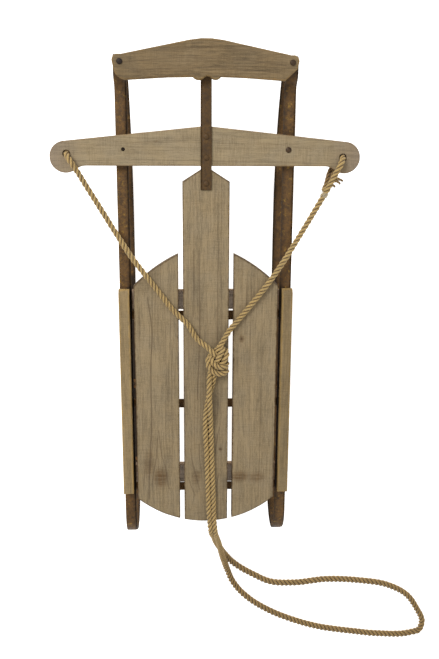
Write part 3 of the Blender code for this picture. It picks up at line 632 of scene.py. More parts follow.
# Strength, half width and course of each dark grain line.
LEFT_LINES = [
    (0.85, 0.0009, [(-0.107, 0.0282), (-0.1002, -0.0268), (-0.103, -0.1), (-0.1037, -0.1633),
                    (-0.1035, -0.2196), (-0.1067, -0.2694), (-0.1101, -0.3329), (-0.1108, -0.3716)]),
    (0.7, 0.0008, [(-0.0931, -0.2471), (-0.0952, -0.2822), (-0.1017, -0.3202), (-0.1045, -0.3458)]),
    (0.6, 0.0007, [(-0.1179, -0.3072), (-0.12, -0.335), (-0.121, -0.3481)]),
    (0.65, 0.0008, [(-0.0905, -0.23), (-0.085, -0.281), (-0.0779, -0.3118), (-0.072, -0.353)]),
    (0.6, 0.0007, [(-0.1012, -0.25), (-0.1066, -0.2953), (-0.1085, -0.32)]),
    (0.4, 0.0006, [(-0.076, 0.04), (-0.0745, -0.09), (-0.077, -0.22)]),
    (0.35, 0.0006, [(-0.064, 0.07), (-0.0655, -0.05), (-0.063, -0.19), (-0.066, -0.32)]),
]
CENTRE_LINES = [
    (0.55, 0.0007, [(-0.0225, 0.1172), (-0.0234, -0.0089)]),
    (0.75, 0.0008, [(-0.0127, 0.1172), (-0.0123, -0.0515), (-0.0162, -0.1692)]),
    (0.6, 0.0007, [(0.0224, 0.1171), (0.0209, -0.0517)]),
    (0.5, 0.0007, [(0.0281, 0.0726), (0.0277, -0.0518)]),
    (0.7, 0.0008, [(-0.0133, -0.2583), (-0.0122, -0.2886), (-0.0087, -0.3192)]),
    (0.7, 0.0008, [(-0.0263, -0.2934), (-0.017, -0.3345), (-0.0123, -0.3552)]),
    (0.65, 0.0008, [(0.0263, -0.2239), (0.0206, -0.2538), (0.0171, -0.2789)]),
    (0.65, 0.0008, [(-0.0349, -0.3283), (-0.0295, -0.3447), (-0.0206, -0.3695)]),
    (0.55, 0.0007, [(-0.03, -0.27), (-0.0255, -0.3), (-0.023, -0.32)]),
    (0.65, 0.0008, [(0.0256, -0.3198), (0.0209, -0.3506), (0.0222, -0.3688)]),
    (0.35, 0.0006, [(-0.033, 0.22), (-0.0322, 0.05), (-0.0335, -0.15)]),
    (0.95, 0.0018, [(0.0276, -0.2704), (0.0282, -0.2704)]),
]
RIGHT_LINES = [
    (0.45, 0.0007, [(0.1268, -0.1758), (0.129, -0.27), (0.1309, -0.363)]),
    (0.35, 0.0006, [(0.084, 0.05), (0.083, -0.12), (0.0855, -0.3)]),
    (0.3, 0.0006, [(0.104, 0.02), (0.1052, -0.15), (0.1035, -0.33)]),
    (0.9, 0.0017, [(0.0661, -0.0501), (0.0667, -0.0501)]),
    (0.45, 0.0007, [(0.064, -0.044), (0.0627, -0.05), (0.064, -0.056)]),
    (0.45, 0.0007, [(0.0688, -0.044), (0.0701, -0.05), (0.0688, -0.056)]),
]
BUMPER_LINES = [
    (0.45, 0.0008, [(-0.14, 0.436), (-0.05, 0.444), (0.05, 0.442), (0.135, 0.433)]),
    (0.4, 0.0007, [(-0.12, 0.423), (-0.03, 0.429), (0.06, 0.427), (0.13, 0.42)]),
    (0.35, 0.0007, [(-0.08, 0.456), (0.0, 0.461), (0.08, 0.455)]),
]
BAR_LINES = [
    (0.35, 0.0007, [(-0.24, 0.273), (-0.12, 0.276), (0.03, 0.2735), (0.24, 0.27)]),
    (0.25, 0.0006, [(-0.19, 0.3), (-0.06, 0.309), (0.09, 0.306), (0.2, 0.293)]),
]
# Strength, centre and half sizes of each stain or small knot.
LEFT_STAINS = [(0.95, -0.088, -0.328, 0.013, 0.020), (0.5, -0.110, -0.300, 0.010, 0.030)]
CENTRE_STAINS = [(0.6, -0.018, -0.329, 0.009, 0.014), (0.8, 0.0279, -0.2704, 0.0035, 0.0045)]
RIGHT_STAINS = [(0.95, 0.066, -0.328, 0.017, 0.011), (0.7, 0.099, -0.329, 0.017, 0.011),
                (0.7, 0.0664, -0.0501, 0.0045, 0.0065)]
BAR_STAINS = [(0.8, -0.087, 0.3078, 0.0035, 0.0022)]


def slats():
    half, deck = CENTRE_SLAT_HALF, (DECK_BOTTOM, DECK_TOP, "y")
    nose = [(-half, CENTRE_SLAT_SHOULDER_Y), (0, CENTRE_SLAT_APEX_Y), (half, CENTRE_SLAT_SHOULDER_Y)]
    board = Board("centre_slat_board", rear_arc(-half, half), nose, *deck, 3.1, CENTRE_LINES,
                  CENTRE_STAINS)
    # Its bare front half is the lightest wood of the deck.
    board.settle("slat_wood", "root", "slat_wood", "centre_slat",
                 lambda x, y: 0.93 + 0.30 * np.clip(y + 0.05, -0.1, 0.25))
    for side, hand, lines, stains, seed in (("left", -1, LEFT_LINES, LEFT_STAINS, 7.7),
                                            ("right", 1, RIGHT_LINES, RIGHT_STAINS, 12.3)):
        low, high = sorted((hand * SLAT_INNER, hand * SLAT_OUTER))
        board = Board(f"{side}_slat_board", rear_arc(low, high), nose_arc(hand), *deck, seed,
                      lines, stains)
        board.settle("slat_wood", "root", "slat_wood", f"{side}_slat", 0.96)


RAIL_TONE = {"left": 0.90, "right": 0.74}
RAIL_OUT = 0.0013               # how far the boards sit outside the CAD's rails


def rails():
    def chamfer(x, y):
        return DECK_TOP - (y - (RAIL_FRONT_Y - RAIL_CHAMFER)) - 0.0002

    for side, hand in SIDES:
        low, high = sorted((hand * (RAIL_INNER + RAIL_OUT), hand * (RAIL_OUTER + RAIL_OUT)))
        rear, front = ([(low, y), (high, y)] for y in (RAIL_REAR_Y, RAIL_FRONT_Y))
        board = Board(f"{side}_rail_board", rear, front, DECK_BOTTOM, DECK_TOP, "y", 20 + hand,
                      rim=0.0022, shape=chamfer)
        board.settle("rail_wood", "root", "slat_wood", f"{side}_rail", RAIL_TONE[side])


BATTEN_EXTRA = {"front": 0.0, "rear": 0.0011}      # how much wider than the CAD's, behind


def battens():
    end = RUNNER_INNER - GAP
    for place, y in BATTEN_Y.items():
        ys = (y - BATTEN_WIDTH / 2 - BATTEN_EXTRA[place], y + BATTEN_WIDTH / 2)
        rear, front = ([(-end, edge_y), (end, edge_y)] for edge_y in ys)
        board = Board(f"{place}_batten_board", rear, front, BAND_TOP - BATTEN_THICK, BAND_TOP,
                      "x", 30 + y)
        board.settle("batten_wood", "root", "batten_wood", f"{place}_batten")


def lobe(centre_x, width, base_y):
    """One of the round lobes beside the bumper's notch, as an arc."""
    depth = BUMPER_LOBE_DEPTH
    radius = width ** 2 / (8 * depth) + depth / 2
    half = math.degrees(math.asin(width / 2 / radius))
    return arc((centre_x, base_y - depth + radius), radius, -90 - half, -90 + half, 12)


def bumper():
    end_x, end_y = BUMPER_END
    left_x = -end_x - BUMPER_LEFT_REACH
    front = BUMPER_FRONT + arc(BUMPER_END, BUMPER_END_RADIUS, 72, 0, 12)
    front += [(-x, y) for x, y in BUMPER_FRONT]
    front += arc((left_x, end_y), BUMPER_END_RADIUS, 108, 180, 12)
    rear = [(left_x - BUMPER_END_RADIUS, end_y)] + [(-x, y) for x, y in BUMPER_ARCH]
    rear += arc(BUMPER_ROUND, BUMPER_ROUND_RADIUS, -168, -90, 14) + [BUMPER_NOTCH]
    for x, width, base_y in BUMPER_LOBES:
        rear += lobe(x, width, base_y)
    rear += BUMPER_ARCH + BUMPER_CUT + [(end_x + BUMPER_END_RADIUS, end_y)]
    board = Board("bumper_board", in_order(rear), in_order(front), BUMPER_BOTTOM, BUMPER_TOP,
                  "x", 41.0, BUMPER_LINES, rim=0.0020)
    # Lighter to the right and in the middle.
    board.settle("bumper_wood", "root", "bumper_wood", "bumper",
                 lambda x, y: 0.87 + 0.25 * x + 0.11 * np.exp(-(x / 0.08) ** 2))


def steering_bar():
    end_x, end_y = BAR_END
    fillet_y = BAR_REAR_Y - BAR_FILLET
    reach = math.sqrt((BAR_END_RADIUS + BAR_FILLET) ** 2 - (end_y - fillet_y) ** 2)
    touch = math.degrees(math.atan2(fillet_y - end_y, -reach))
    front = [(0, BAR_APEX_Y)] + arc(BAR_END, BAR_END_RADIUS, 84, 0, 26)
    rear = arc((end_x - reach, fillet_y), BAR_FILLET, 90, touch + 180, 12)
    rear += arc(BAR_END, BAR_END_RADIUS, touch, 0, 26)
    front, rear = (in_order(half + [(-x, y) for x, y in half if x]) for half in (front, rear))
    cuts = [(x, y, ROPE_HOLE_RADIUS, 0.0009) for x, y in ROPE_HOLE.values()]
    cuts.append((-RUNNER_BOLT[0], RUNNER_BOLT[1], BOLT_RADIUS + 0.0008, 0.0004))
    board = Board("steering_bar_board", rear, front, DECK_BOTTOM, DECK_TOP, "x", 55.0, BAR_LINES,
                  BAR_STAINS, rim=0.0018, cuts=cuts)
    board.settle("bar_wood", "steering", "steering_wood", "steering_bar")


# ---------------------------------------------------------------- flat bar
class Path:
    """The middle line of a bent flat bar, drawn like a turtle in its side plane."""

    def __init__(self, start):
        self.points = [start]
        self.heading = 0.0

    def to_first(self, value):
        u, v = self.points[-1]
        run = (value - u) / math.cos(self.heading)
        self.points.append((value, v + run * math.sin(self.heading)))

    def to_second(self, value):
        u, v = self.points[-1]
        run = (value - v) / math.sin(self.heading)
        self.points.append((u + run * math.cos(self.heading), value))

    def bend(self, radius, degrees, steps):
        u, v = self.points[-1]
        side = math.copysign(1, degrees)
        centre = (u - side * radius * math.sin(self.heading),
                  v + side * radius * math.cos(self.heading))
        start = math.degrees(self.heading) - side * 90
        self.points += arc(centre, radius, start, start + degrees, steps)[1:]
        self.heading += math.radians(degrees)


def divided(points, step):
    """A polyline with its long stretches cut into steps."""
    out = [Vector(points[0])]
    for here, there in zip(points, points[1:]):
        here, there = Vector(here), Vector(there)
        count = max(1, math.ceil((there - here).length / step))
        out += [here.lerp(there, i / count) for i in range(1, count + 1)]
    return out


EDGE_ROUND = 0.0007
WAVINESS = 0.00012
END_DOME = 0.0005               # how far a cut end bulges, and how far in its rim is worn
PATH_STEP = 0.008


def bar_section(width):
    """Offsets (through the bar, across it) round a rounded rectangle."""
    half, side = STEEL / 2 - EDGE_ROUND, width / 2 - EDGE_ROUND
    spots = []
    for h, w, start in ((half, side, 0), (half, -side, 270), (-half, -side, 180),
                        (-half, side, 90)):
        spots += [(h + EDGE_ROUND * math.sin(a), w + EDGE_ROUND * math.cos(a))
                  for a in [math.radians(start) + math.radians(b) for b in (0, 30, 60, 90)]]
    flats = []
    for (h0, w0), (h1, w1) in zip(spots, spots[1:] + spots[:1]):
        flats.append((h0, w0))
        if abs(w1 - w0) > 0.004:
            flats += [(h0, w0 + (w1 - w0) * t) for t in (0.2, 0.4, 0.6, 0.8)]
    return flats


def sweep(name, points, low, high, place, closed):
    """A flat bar swept along a path; place turns (first, second, sideways) into a point."""
    path = [Vector(p) for p in points]
    section = bar_section(high - low)
    middle, size, count = (low + high) / 2, len(section), len(path)
    verts = []
    for i, here in enumerate(path):
        before = path[i - 1] if closed or i else here
        after = path[(i + 1) % count] if closed or i < count - 1 else here
        into, out = here - before, after - here
        if before is here:
            into = out
        if after is here:
            out = into
        into, out = into.normalized(), out.normalized()
        tangent = (into + out).normalized()
        normal = Vector((-tangent.y, tangent.x)) / max(0.5, tangent.dot(into))
        wave = WAVINESS * noise.noise((here.x * 30, here.y * 30, middle))
        for h, w in section:
            at = here + normal * (h + wave)
            verts.append(place(at.x, at.y, middle + w))
    faces = []
    for i in range(count if closed else count - 1):
        row, following = i * size, (i + 1) % count * size
        for j in range(size):
            after = (j + 1) % size
            faces.append((row + j, row + after, following + after, following + j))
    for end, inner in () if closed else ((0, 1), (count - 1, count - 2)):
        ring = [Vector(verts[end * size + j]) for j in range(size)]
        hub = sum(ring, Vector()) / size
        outward = (ring[0] - Vector(verts[inner * size])).normalized()
        base = len(verts)
        verts += [p + (hub - p).normalized() * 0.0006 + outward * END_DOME for p in ring]
        for j in range(size):
            after = (j + 1) % size
            faces.append((end * size + j, end * size + after, base + after, base + j))
        faces.append(tuple(base + j for j in range(size)))
    made = make_object(name, verts, faces)
    edit(made, lambda mesh: bmesh.ops.recalc_face_normals(mesh, faces=mesh.faces))
    return made


# Where painted shade lies on the runners, along the inner edge in the gap between rail and slats,
# deeper beside the rails, and on the tip under the bumper: the place it starts at, and over what
# distance it grows.
INNER_EDGE_SHADE = (-0.007, 0.005)
TIP_SHADE = (0.405, 0.020)
RAIL_GAP_SHADE = (-0.012, 0.004)
RAIL_GAP_SHADE_STRENGTH = 1.6


def grows(value, zone):
    """From 0 where a value is at the start of a zone to 1 at its end."""
    start, distance = zone
    return np.clip((value - start) / distance, 0, 1)


def runners():
    tip_height, upper = STRAP_TOP - STEEL / 2, BAND_TOP - STEEL / 2
    for side, hand in SIDES:
        path = Path((TAIL_CENTRE_Y, STEEL / 2))
        path.to_first(SWEEP_START_Y)
        for radius, turn in SWEEP:
            path.bend(radius, turn, 26)
        tip_radius = (tip_height - path.points[-1][1]) / (1 + math.cos(path.heading))
        path.bend(tip_radius, 180 - math.degrees(path.heading), 16)
        path.to_first(TIP_FLAT_END_Y)
        joggle = (tip_height - upper) / 2 / (1 - math.cos(math.radians(JOGGLE_TURN)))
        path.bend(joggle, JOGGLE_TURN, 8)
        path.bend(joggle, -JOGGLE_TURN, 8)
        path.to_first(TAIL_CENTRE_Y)
        path.bend((upper - STEEL / 2) / 2, 180, 48)
        low, high = sorted((hand * RUNNER_INNER, hand * RUNNER_OUTER))
        points = divided(path.points, PATH_STEP)[:-1]
        made = sweep(f"{side}_runner_bar", points, low, high, lambda y, z, x: (x, y, z), True)
        # Painted shade: darker along the inner edge, which lies in the gap between rail and slats,
        # darker still beside the rails, and on the tip under the bumper.
        x, y, _ = coordinates(made).T
        inward = RUNNER_INNER - np.abs(x)
        beside_rail = (y > RAIL_REAR_Y) & (y < RAIL_FRONT_Y)
        gap = RAIL_GAP_SHADE_STRENGTH * grows(inward, RAIL_GAP_SHADE) * beside_rail
        edge, tip = grows(inward, INNER_EDGE_SHADE), grows(y, TIP_SHADE)
        write_attribute(made, "painted_shade_and_darkening", np.maximum(np.maximum(edge, tip), gap))
        settle(made, "runner_steel", "root", "rusty_steel", f"{side}_runner")


def crossbars():
    flat = BAND_TOP - STEEL / 2
    under = flat - STEEL - GAP
    half = CROSSBAR_WIDTH / 2
    for place, y in CROSSBAR_Y.items():
        path = Path((CROSSBAR_STEP_X, under))
        path.to_first(LEG_X - LEG_BEND)
        path.bend(LEG_BEND, -90, 8)
        path.to_second(STEEL + GAP + STEEL / 2 + LEG_BEND)
        path.bend(LEG_BEND, -90, 8)
        path.to_first(FOOT_INNER_X)
        stepped = rounded([(0.0, flat), (CROSSBAR_FLAT_X, flat), (CROSSBAR_STEP_X, under),
                           path.points[1]], 0.003)
        right = [tuple(p) for p in stepped[:-1]] + path.points[1:]
        left = [(-x, z) for x, z in reversed(right[1:])]
        made = sweep(f"{place}_crossbar_bar", divided(left + right, PATH_STEP), y - half, y + half,
                     lambda x, z, sideways: (x, sideways, z), False)
        settle(made, "under_steel_painted_light", "root", "rusty_steel", f"{place}_crossbar")


def strap():
    height = STRAP_TOP - STEEL / 2
    points = divided([(STRAP_REAR_Y + END_DOME, height), (STRAP_FRONT_Y - END_DOME, height)], 0.006)
    made = sweep("steering_strap_bar", points, -STRAP_HALF, STRAP_HALF,
                 lambda y, z, x: (x, y, z), False)
    settle(made, "strap_steel", "steering", "rusty_steel", "steering_strap")


# ---------------------------------------------------------------- fasteners
def lathe_object(name, profile, centre, steps=32):
    """A solid turned about an upright axis; the profile runs from the top of the axis, down
    the outside, to the bottom of it. A profile that doesn't touch the axis is a ring."""
    verts, rows = [], []
    for radius, z in profile:
        around = steps if radius else 1
        rows.append([len(verts) + k % around for k in range(steps)])
        for k in range(around):
            a = 2 * math.pi * k / steps
            verts.append((centre[0] + radius * math.cos(a), centre[1] + radius * math.sin(a), z))
    faces = []
    for upper, lower in zip(rows, rows[1:] + (rows[:1] if profile[0][0] else [])):
        for k in range(steps):
            after = (k + 1) % steps
            loop = [upper[k], lower[k], lower[after], upper[after]]
            loop = [v for i, v in enumerate(loop) if v != loop[i - 1]]
            if len(loop) > 2:
                faces.append(loop)
    return make_object(name, verts, faces)


SHANK_END = 0.0022              # a shank's radius where its end is chamfered
DOME = 0.0028                   # height of a bolt's head
RIVET_HEAD = 0.0018
SCREW_HEAD = 0.0016
SCREW_CREST, SCREW_ROOT, HALF_PITCH = 0.0020, 0.00165, 0.0004
WASHER_HOLE = 0.0028
STEERED = ("strap", "pivot", "runner_bolt", "runner_nut")
BLACK_BOLTS = ("left_bumper_bolt", "left_runner_bolt")
# The left bumper bolt is black; the sunk left runner bolt is black as painted shade in its hole.
STRAP_BOLTS = ("front_strap_bolt", "rear_strap_bolt", "pivot_bolt")


def bolt_profile(half, bottom, top):
    """A round-headed bolt, or a bare shank where the box is no wider than one."""
    if half < 0.003:
        return [(0, top), (0.0021, top), (BOLT_RADIUS, top - 0.0004), (BOLT_RADIUS, bottom),
                (0, bottom)]
    seat = top - DOME
    dome = [(half * math.sin(a) * 0.97, seat + DOME * (0.28 + 0.72 * math.cos(a)))
            for a in (math.radians(10 * i) for i in range(9))]
    return dome + [(half, seat + 0.0009), (half, seat + 0.0002), (half - 0.0002, seat),
                   (BOLT_RADIUS, seat), (BOLT_RADIUS, bottom + 0.0003), (SHANK_END, bottom),
                   (0, bottom)]


def screw_profile(half, bottom, top):
    """A wood screw with its head below and a slot-wide dimple in it."""
    thread = np.arange(top - 0.0034, bottom + 0.0050, -HALF_PITCH)
    return [(0, top), (0.0006, top - 0.0006), (SCREW_CREST, top - 0.003)] + [
        (SCREW_CREST if i % 2 else SCREW_ROOT, z) for i, z in enumerate(thread)] + [
        (SCREW_CREST, bottom + SCREW_HEAD), (half, bottom + SCREW_HEAD), (half, bottom + 0.0003),
        (half - 0.0004, bottom), (0.0011, bottom), (0.0009, bottom + 0.0005),
        (0, bottom + 0.0006)]


def rivet_profile(half, bottom, top):
    seat = top - RIVET_HEAD
    return [(0, top), (0.0012, top - 0.0001), (0.0022, top - 0.0005), (0.0032, top - 0.0011),
            (0.0038, seat + 0.0002), (0.0037, seat), (BOLT_RADIUS, seat),
            (BOLT_RADIUS, bottom + 0.0002), (SHANK_END, bottom), (0, bottom)]


def washer_profile(half, bottom, top):
    return [(half - 0.0002, top), (half, top - 0.0002), (half, bottom + 0.0002),
            (half - 0.0002, bottom), (WASHER_HOLE, bottom), (WASHER_HOLE, top)]


PROFILES = {"bolt": bolt_profile, "screw": screw_profile, "rivet": rivet_profile,
            "washer": washer_profile}


def fasteners():
    """Finer solids for every bolt, screw, rivet and washer, each where its node is. The nuts
    stay the CAD's, with worn edges."""
    for name, node in NODES.items():
        kind = name.rsplit("_", 1)[-1]
        if kind == "nut":
            bevel = node.modifiers.new("worn", "BEVEL")
            bevel.width = 0.0004
            bevel.segments = 2
            bevel.limit_method = "ANGLE"
            node.data.materials.clear()
            node.data.materials.append(LOOKS["bolt_steel"])
        if kind not in PROFILES:
            continue
        low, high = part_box(name)
        profile = PROFILES[kind]((high[0] - low[0]) / 2, low[2], high[2])
        made = lathe_object(name + "_turned", profile,
                            ((low[0] + high[0]) / 2, (low[1] + high[1]) / 2))
        # Black steel: on the left runner bolt it is painted shade in its hole.
        look = "black_steel" if name in BLACK_BOLTS else "bolt_steel"
        body = "steering" if any(word in name for word in STEERED) else "root"
        settle(made, "strap_steel" if name in STRAP_BOLTS else look, body, "bolt_steel", name)


# ---------------------------------------------------------------- rope
CREST = 0.0053                  # from the rope's middle line to the crest of a strand
SWELL = 0.34                    # how much thicker the slack rope on the ground is
ON_DECK = DECK_TOP + 0.0054
ON_GROUND = CREST * (1 + SWELL) + 0.0004
STRAND_LAY = 0.028              # length of rope in which a strand goes once round
LEFT_LEG = [
    (-0.2433, 0.2861, 0.1305), (-0.2433, 0.2861, 0.1425), (-0.2422, 0.2843, 0.1505),
    (-0.2391, 0.2793, 0.1564), (-0.2348, 0.2725, 0.1585), (-0.2273, 0.2605, 0.1562),
    (-0.209, 0.228, 0.15), (-0.1859, 0.1887, 0.147), (-0.1581, 0.1417, 0.1462),
    (-0.1301, 0.0987, 0.1495), (-0.1114, 0.0745, 0.1538), (-0.089, 0.0446, 0.1534),
    (-0.0598, 0.0064, ON_DECK), (-0.0335, -0.0206, 0.1555), (-0.017, -0.0465, 0.158),
]
RIGHT_LEG = [
    (0.2425, 0.2811, 0.1305), (0.2425, 0.2811, 0.1425), (0.2416, 0.2792, 0.1505),
    (0.239, 0.2739, 0.1564), (0.2356, 0.2667, 0.1585), (0.229, 0.253, 0.1562),
    (0.2188, 0.2312, 0.1525), (0.2062, 0.2073, 0.1495), (0.169, 0.1412, 0.1462),
    (0.1424, 0.0978, 0.1492), (0.1175, 0.0618, 0.1538), (0.0892, 0.0244, ON_DECK),
    (0.0589, -0.0131, 0.1534), (0.0432, -0.0315, 0.1556), (0.0316, -0.0506, 0.158),
]
RIGHT_TAIL = [
    (0.2434, 0.283, 0.1255), (0.2462, 0.2856, 0.1192), (0.2446, 0.279, 0.1148),
    (0.2385, 0.2705, 0.1145), (0.2315, 0.2645, 0.117), (0.225, 0.255, 0.1235), (0.219, 0.241, 0.135),
    (0.214, 0.229, 0.143), (0.2092, 0.2215, 0.145),
]
# The knot is a doubled overhand: each leg's way from the legs to the loop.
KNOT_FIRST = [
    (0.0022, -0.0615, 0.164), (0.013, -0.0725, 0.166), (0.02, -0.079, 0.1605),
    (0.027, -0.0845, 0.1548), (0.0335, -0.09, 0.1535), (0.0377, -0.0945, 0.1565),
    (0.0372, -0.0978, 0.1622), (0.0316, -0.0994, 0.166), (0.0217, -0.0983, 0.1672),
    (0.0137, -0.0918, 0.1672), (0.0105, -0.0849, 0.1655), (0.0118, -0.079, 0.1595),
    (0.0165, -0.0725, 0.154), (0.0225, -0.0655, 0.1535), (0.0282, -0.0612, 0.1558),
    (0.0307, -0.0645, 0.1615), (0.0278, -0.0719, 0.1662), (0.0222, -0.0825, 0.1668),
    (0.0178, -0.091, 0.161), (0.0138, -0.099, 0.156), (0.0098, -0.108, 0.1548),
    (0.007, -0.118, 0.158),
]
KNOT_SECOND = [
    (0.0227, -0.0668, 0.161), (0.0195, -0.075, 0.159), (0.0195, -0.0835, 0.155),
    (0.0228, -0.0925, 0.1532), (0.029, -0.0995, 0.153), (0.035, -0.1045, 0.154),
    (0.0378, -0.1082, 0.1585), (0.0352, -0.1108, 0.163), (0.029, -0.1122, 0.165),
    (0.0183, -0.111, 0.1658), (0.0086, -0.1045, 0.1656), (0.004, -0.095, 0.1648),
    (0.004, -0.0861, 0.1615), (0.0087, -0.08, 0.156), (0.015, -0.077, 0.1534),
    (0.0225, -0.074, 0.153), (0.0305, -0.0695, 0.1538), (0.0358, -0.069, 0.157),
    (0.0378, -0.0735, 0.1618), (0.0358, -0.081, 0.1658), (0.0306, -0.0905, 0.165),
    (0.0245, -0.0978, 0.159), (0.0195, -0.1065, 0.1545), (0.016, -0.115, 0.1545),
]
LOOP = [
    (0.0059, -0.1431, 0.1631), (0.0059, -0.1583, 0.1631), (0.0067, -0.1744, 0.1622),
    (0.0076, -0.1917, 0.1596), (0.0084, -0.206, 0.1566), (0.009, -0.221, ON_DECK),
    (0.0105, -0.2693, ON_DECK), (0.0143, -0.3753, ON_DECK), (0.0162, -0.4233, 0.1538),
    (0.0176, -0.4393, 0.153), (0.0196, -0.4538, 0.145), (0.0222, -0.4673, 0.132),
    (0.0284, -0.5008, 0.099), (0.036, -0.5473, 0.058), (0.0438, -0.5848, 0.029),
    (0.0516, -0.6163, 0.011), (0.062, -0.6445, ON_GROUND), (0.0788, -0.6693, ON_GROUND),
    (0.1008, -0.6913, ON_GROUND), (0.1438, -0.7213, ON_GROUND), (0.1958, -0.7463, ON_GROUND),
    (0.2598, -0.7678, ON_GROUND), (0.3308, -0.7808, ON_GROUND), (0.4028, -0.7903, ON_GROUND),
    (0.4728, -0.7893, ON_GROUND), (0.4933, -0.7823, ON_GROUND), (0.4988, -0.7643, ON_GROUND),
    (0.4828, -0.7243, ON_GROUND), (0.4598, -0.6918, ON_GROUND), (0.4188, -0.6668, ON_GROUND),
    (0.3448, -0.6513, ON_GROUND), (0.2718, -0.6468, ON_GROUND), (0.1998, -0.6538, ON_GROUND),
    (0.1448, -0.6488, ON_GROUND), (0.109, -0.6305, ON_GROUND), (0.0825, -0.6144, ON_GROUND),
    (0.0618, -0.5963, 0.0105), (0.0467, -0.5725, 0.023), (0.0351, -0.5449, 0.044),
    (0.0238, -0.5113, 0.0755), (0.0156, -0.4723, 0.117), (0.0113, -0.4538, 0.142),
    (0.0091, -0.4393, 0.153), (0.0074, -0.4233, 0.1538), (0.005, -0.3753, ON_DECK),
    (0.001, -0.2693, ON_DECK), (-0.0014, -0.215, ON_DECK), (0.0, -0.1923, ON_DECK),
    (0.0022, -0.1769, ON_DECK), (0.0058, -0.1578, ON_DECK), (0.0101, -0.1426, ON_DECK),
    (0.0131, -0.1307, 0.1536),
]


def spline_point(before, here, there, after, t):
    """Catmull-Rom with chord-length knots, which neither loops nor overshoots."""
    spans = [max((b - a).length, 1e-6) for a, b in ((before, here), (here, there), (there, after))]
    out = (here - before) / spans[0] * spans[1] ** 2 + (there - here) * spans[0]
    out /= spans[0] + spans[1]
    into = (after - there) / spans[2] * spans[1] ** 2 + (there - here) * spans[2]
    into /= spans[1] + spans[2]
    return ((2 * t ** 3 - 3 * t ** 2 + 1) * here + (t ** 3 - 2 * t ** 2 + t) * out
            + (3 * t ** 2 - 2 * t ** 3) * there + (t ** 3 - t ** 2) * into)


def smooth_points(route, step):
    route = [Vector(p) for p in route]
    ends = [2 * route[0] - route[1]] + route + [2 * route[-1] - route[-2]]
    points = [route[0]]
    for before, here, there, after in zip(ends, ends[1:], ends[2:], ends[3:]):
        count = max(1, round((there - here).length / step))
        for i in range(1, count + 1):
            points.append(spline_point(before, here, there, after, i / count))
    return points


DECK_END_Y, OFF_DECK, FALL = -0.44, 0.145, 0.125
STRAND = 0.52                   # radius of one strand over that of the rope
SLANT = 1.2                     # stretch of the fibres' pattern along the rope


def slack(point):
    """How far the rope at a point has come down from the deck to the ground behind it."""
    return min(1.0, max(0.0, (OFF_DECK - point[2]) / FALL)) if point[1] < DECK_END_Y else 0.0


def laid(name, route, radius, lay, strands=3, step=0.0012, fray=0.0, around=10, swell=0.0):
    """A laid rope or twine along a route, as one closed mesh whose rows follow its strands.
    Returns the object and the points of its middle line."""
    centres = smooth_points(route, step)
    count, size = len(centres), strands * around
    tangents = [(b - a).normalized() for a, b in
                zip([centres[0]] + centres[:-1], centres[1:] + [centres[-1]])]
    normal = tangents[0].orthogonal().normalized()
    profile = []                # of each row: how far out it is, how deep in a groove, its strand
    for k in range(size):
        phi = (((k + 0.5) / around) % 1 * 2 - 1) * math.pi / strands
        reach = (1 - STRAND) * math.cos(phi) + math.sqrt(
            max(0.0, STRAND ** 2 - ((1 - STRAND) * math.sin(phi)) ** 2))
        profile.append((reach, min(1.0, max(0.0, (1 - reach) / 0.42)), k // around))
    verts, travel = [], [0.0]
    for i, (centre, tangent) in enumerate(zip(centres, tangents)):
        normal = (normal - tangent * normal.dot(tangent)).normalized()
        across = tangent.cross(normal)
        if i:
            travel.append(travel[-1] + (centre - centres[i - 1]).length)
        s = travel[-1]
        base = 2 * math.pi * s / lay + 0.25 * noise.noise((s * 25, 0.3, 0.7))
        close = min(1.0, min(i, count - 1 - i) * step / (radius * 0.7))
        taper = math.sqrt(max(0.0, 1 - (1 - close) ** 2)) * 0.85 + 0.15
        if fray and count - 1 - i < 12:
            taper *= 1 - fray * (1 - (count - 1 - i) / 12)
        for k, (reach, _, strand) in enumerate(profile):
            uneven = 1 + 0.045 * noise.noise((s * 90, strand * 3.1, 1.9))
            rough = 1 + 0.03 * noise.noise((s * 900, k * 1.7, 4.2))
            rho = radius * reach * taper * uneven * rough * (1 + swell * slack(centre))
            angle = base + 2 * math.pi * (k + 0.5) / size
            verts.append(centre + (normal * math.cos(angle) + across * math.sin(angle)) * rho)
    faces, uvs = [], []
    width = 2 * math.pi * radius / size
    for i in range(count - 1):
        row, v0, v1 = i * size, travel[i] * SLANT, travel[i + 1] * SLANT
        for k in range(size):
            after = (k + 1) % size
            faces.append((row + k, row + after, row + size + after, row + size + k))
            uvs += [(k * width, v0), ((k + 1) * width, v0), ((k + 1) * width, v1),
                    (k * width, v1)]
    for end, outward in ((0, -1), (count - 1, 1)):
        hub, ring = len(verts), end * size
        verts.append(centres[end] + tangents[end] * outward * radius * 0.1)
        for k in range(size):
            after = (k + 1) % size
            faces.append((hub, *(ring + k, ring + after)[::outward]))
            uvs += [(k * width, travel[end] * SLANT)] * 3
    made = make_object(name, verts, faces)
    write_attribute(made, "groove", [deep for _, deep, _ in profile] * count + [0.5, 0.5])
    layer = made.data.uv_layers.new(name="lay")
    layer.data.foreach_set("uv", np.asarray(uvs, dtype=np.float32).ravel())
    return made, centres


GROUND_DARKENING = 0.62             # how much darker the rope is painted on the ground; under the bar it carries painted shade
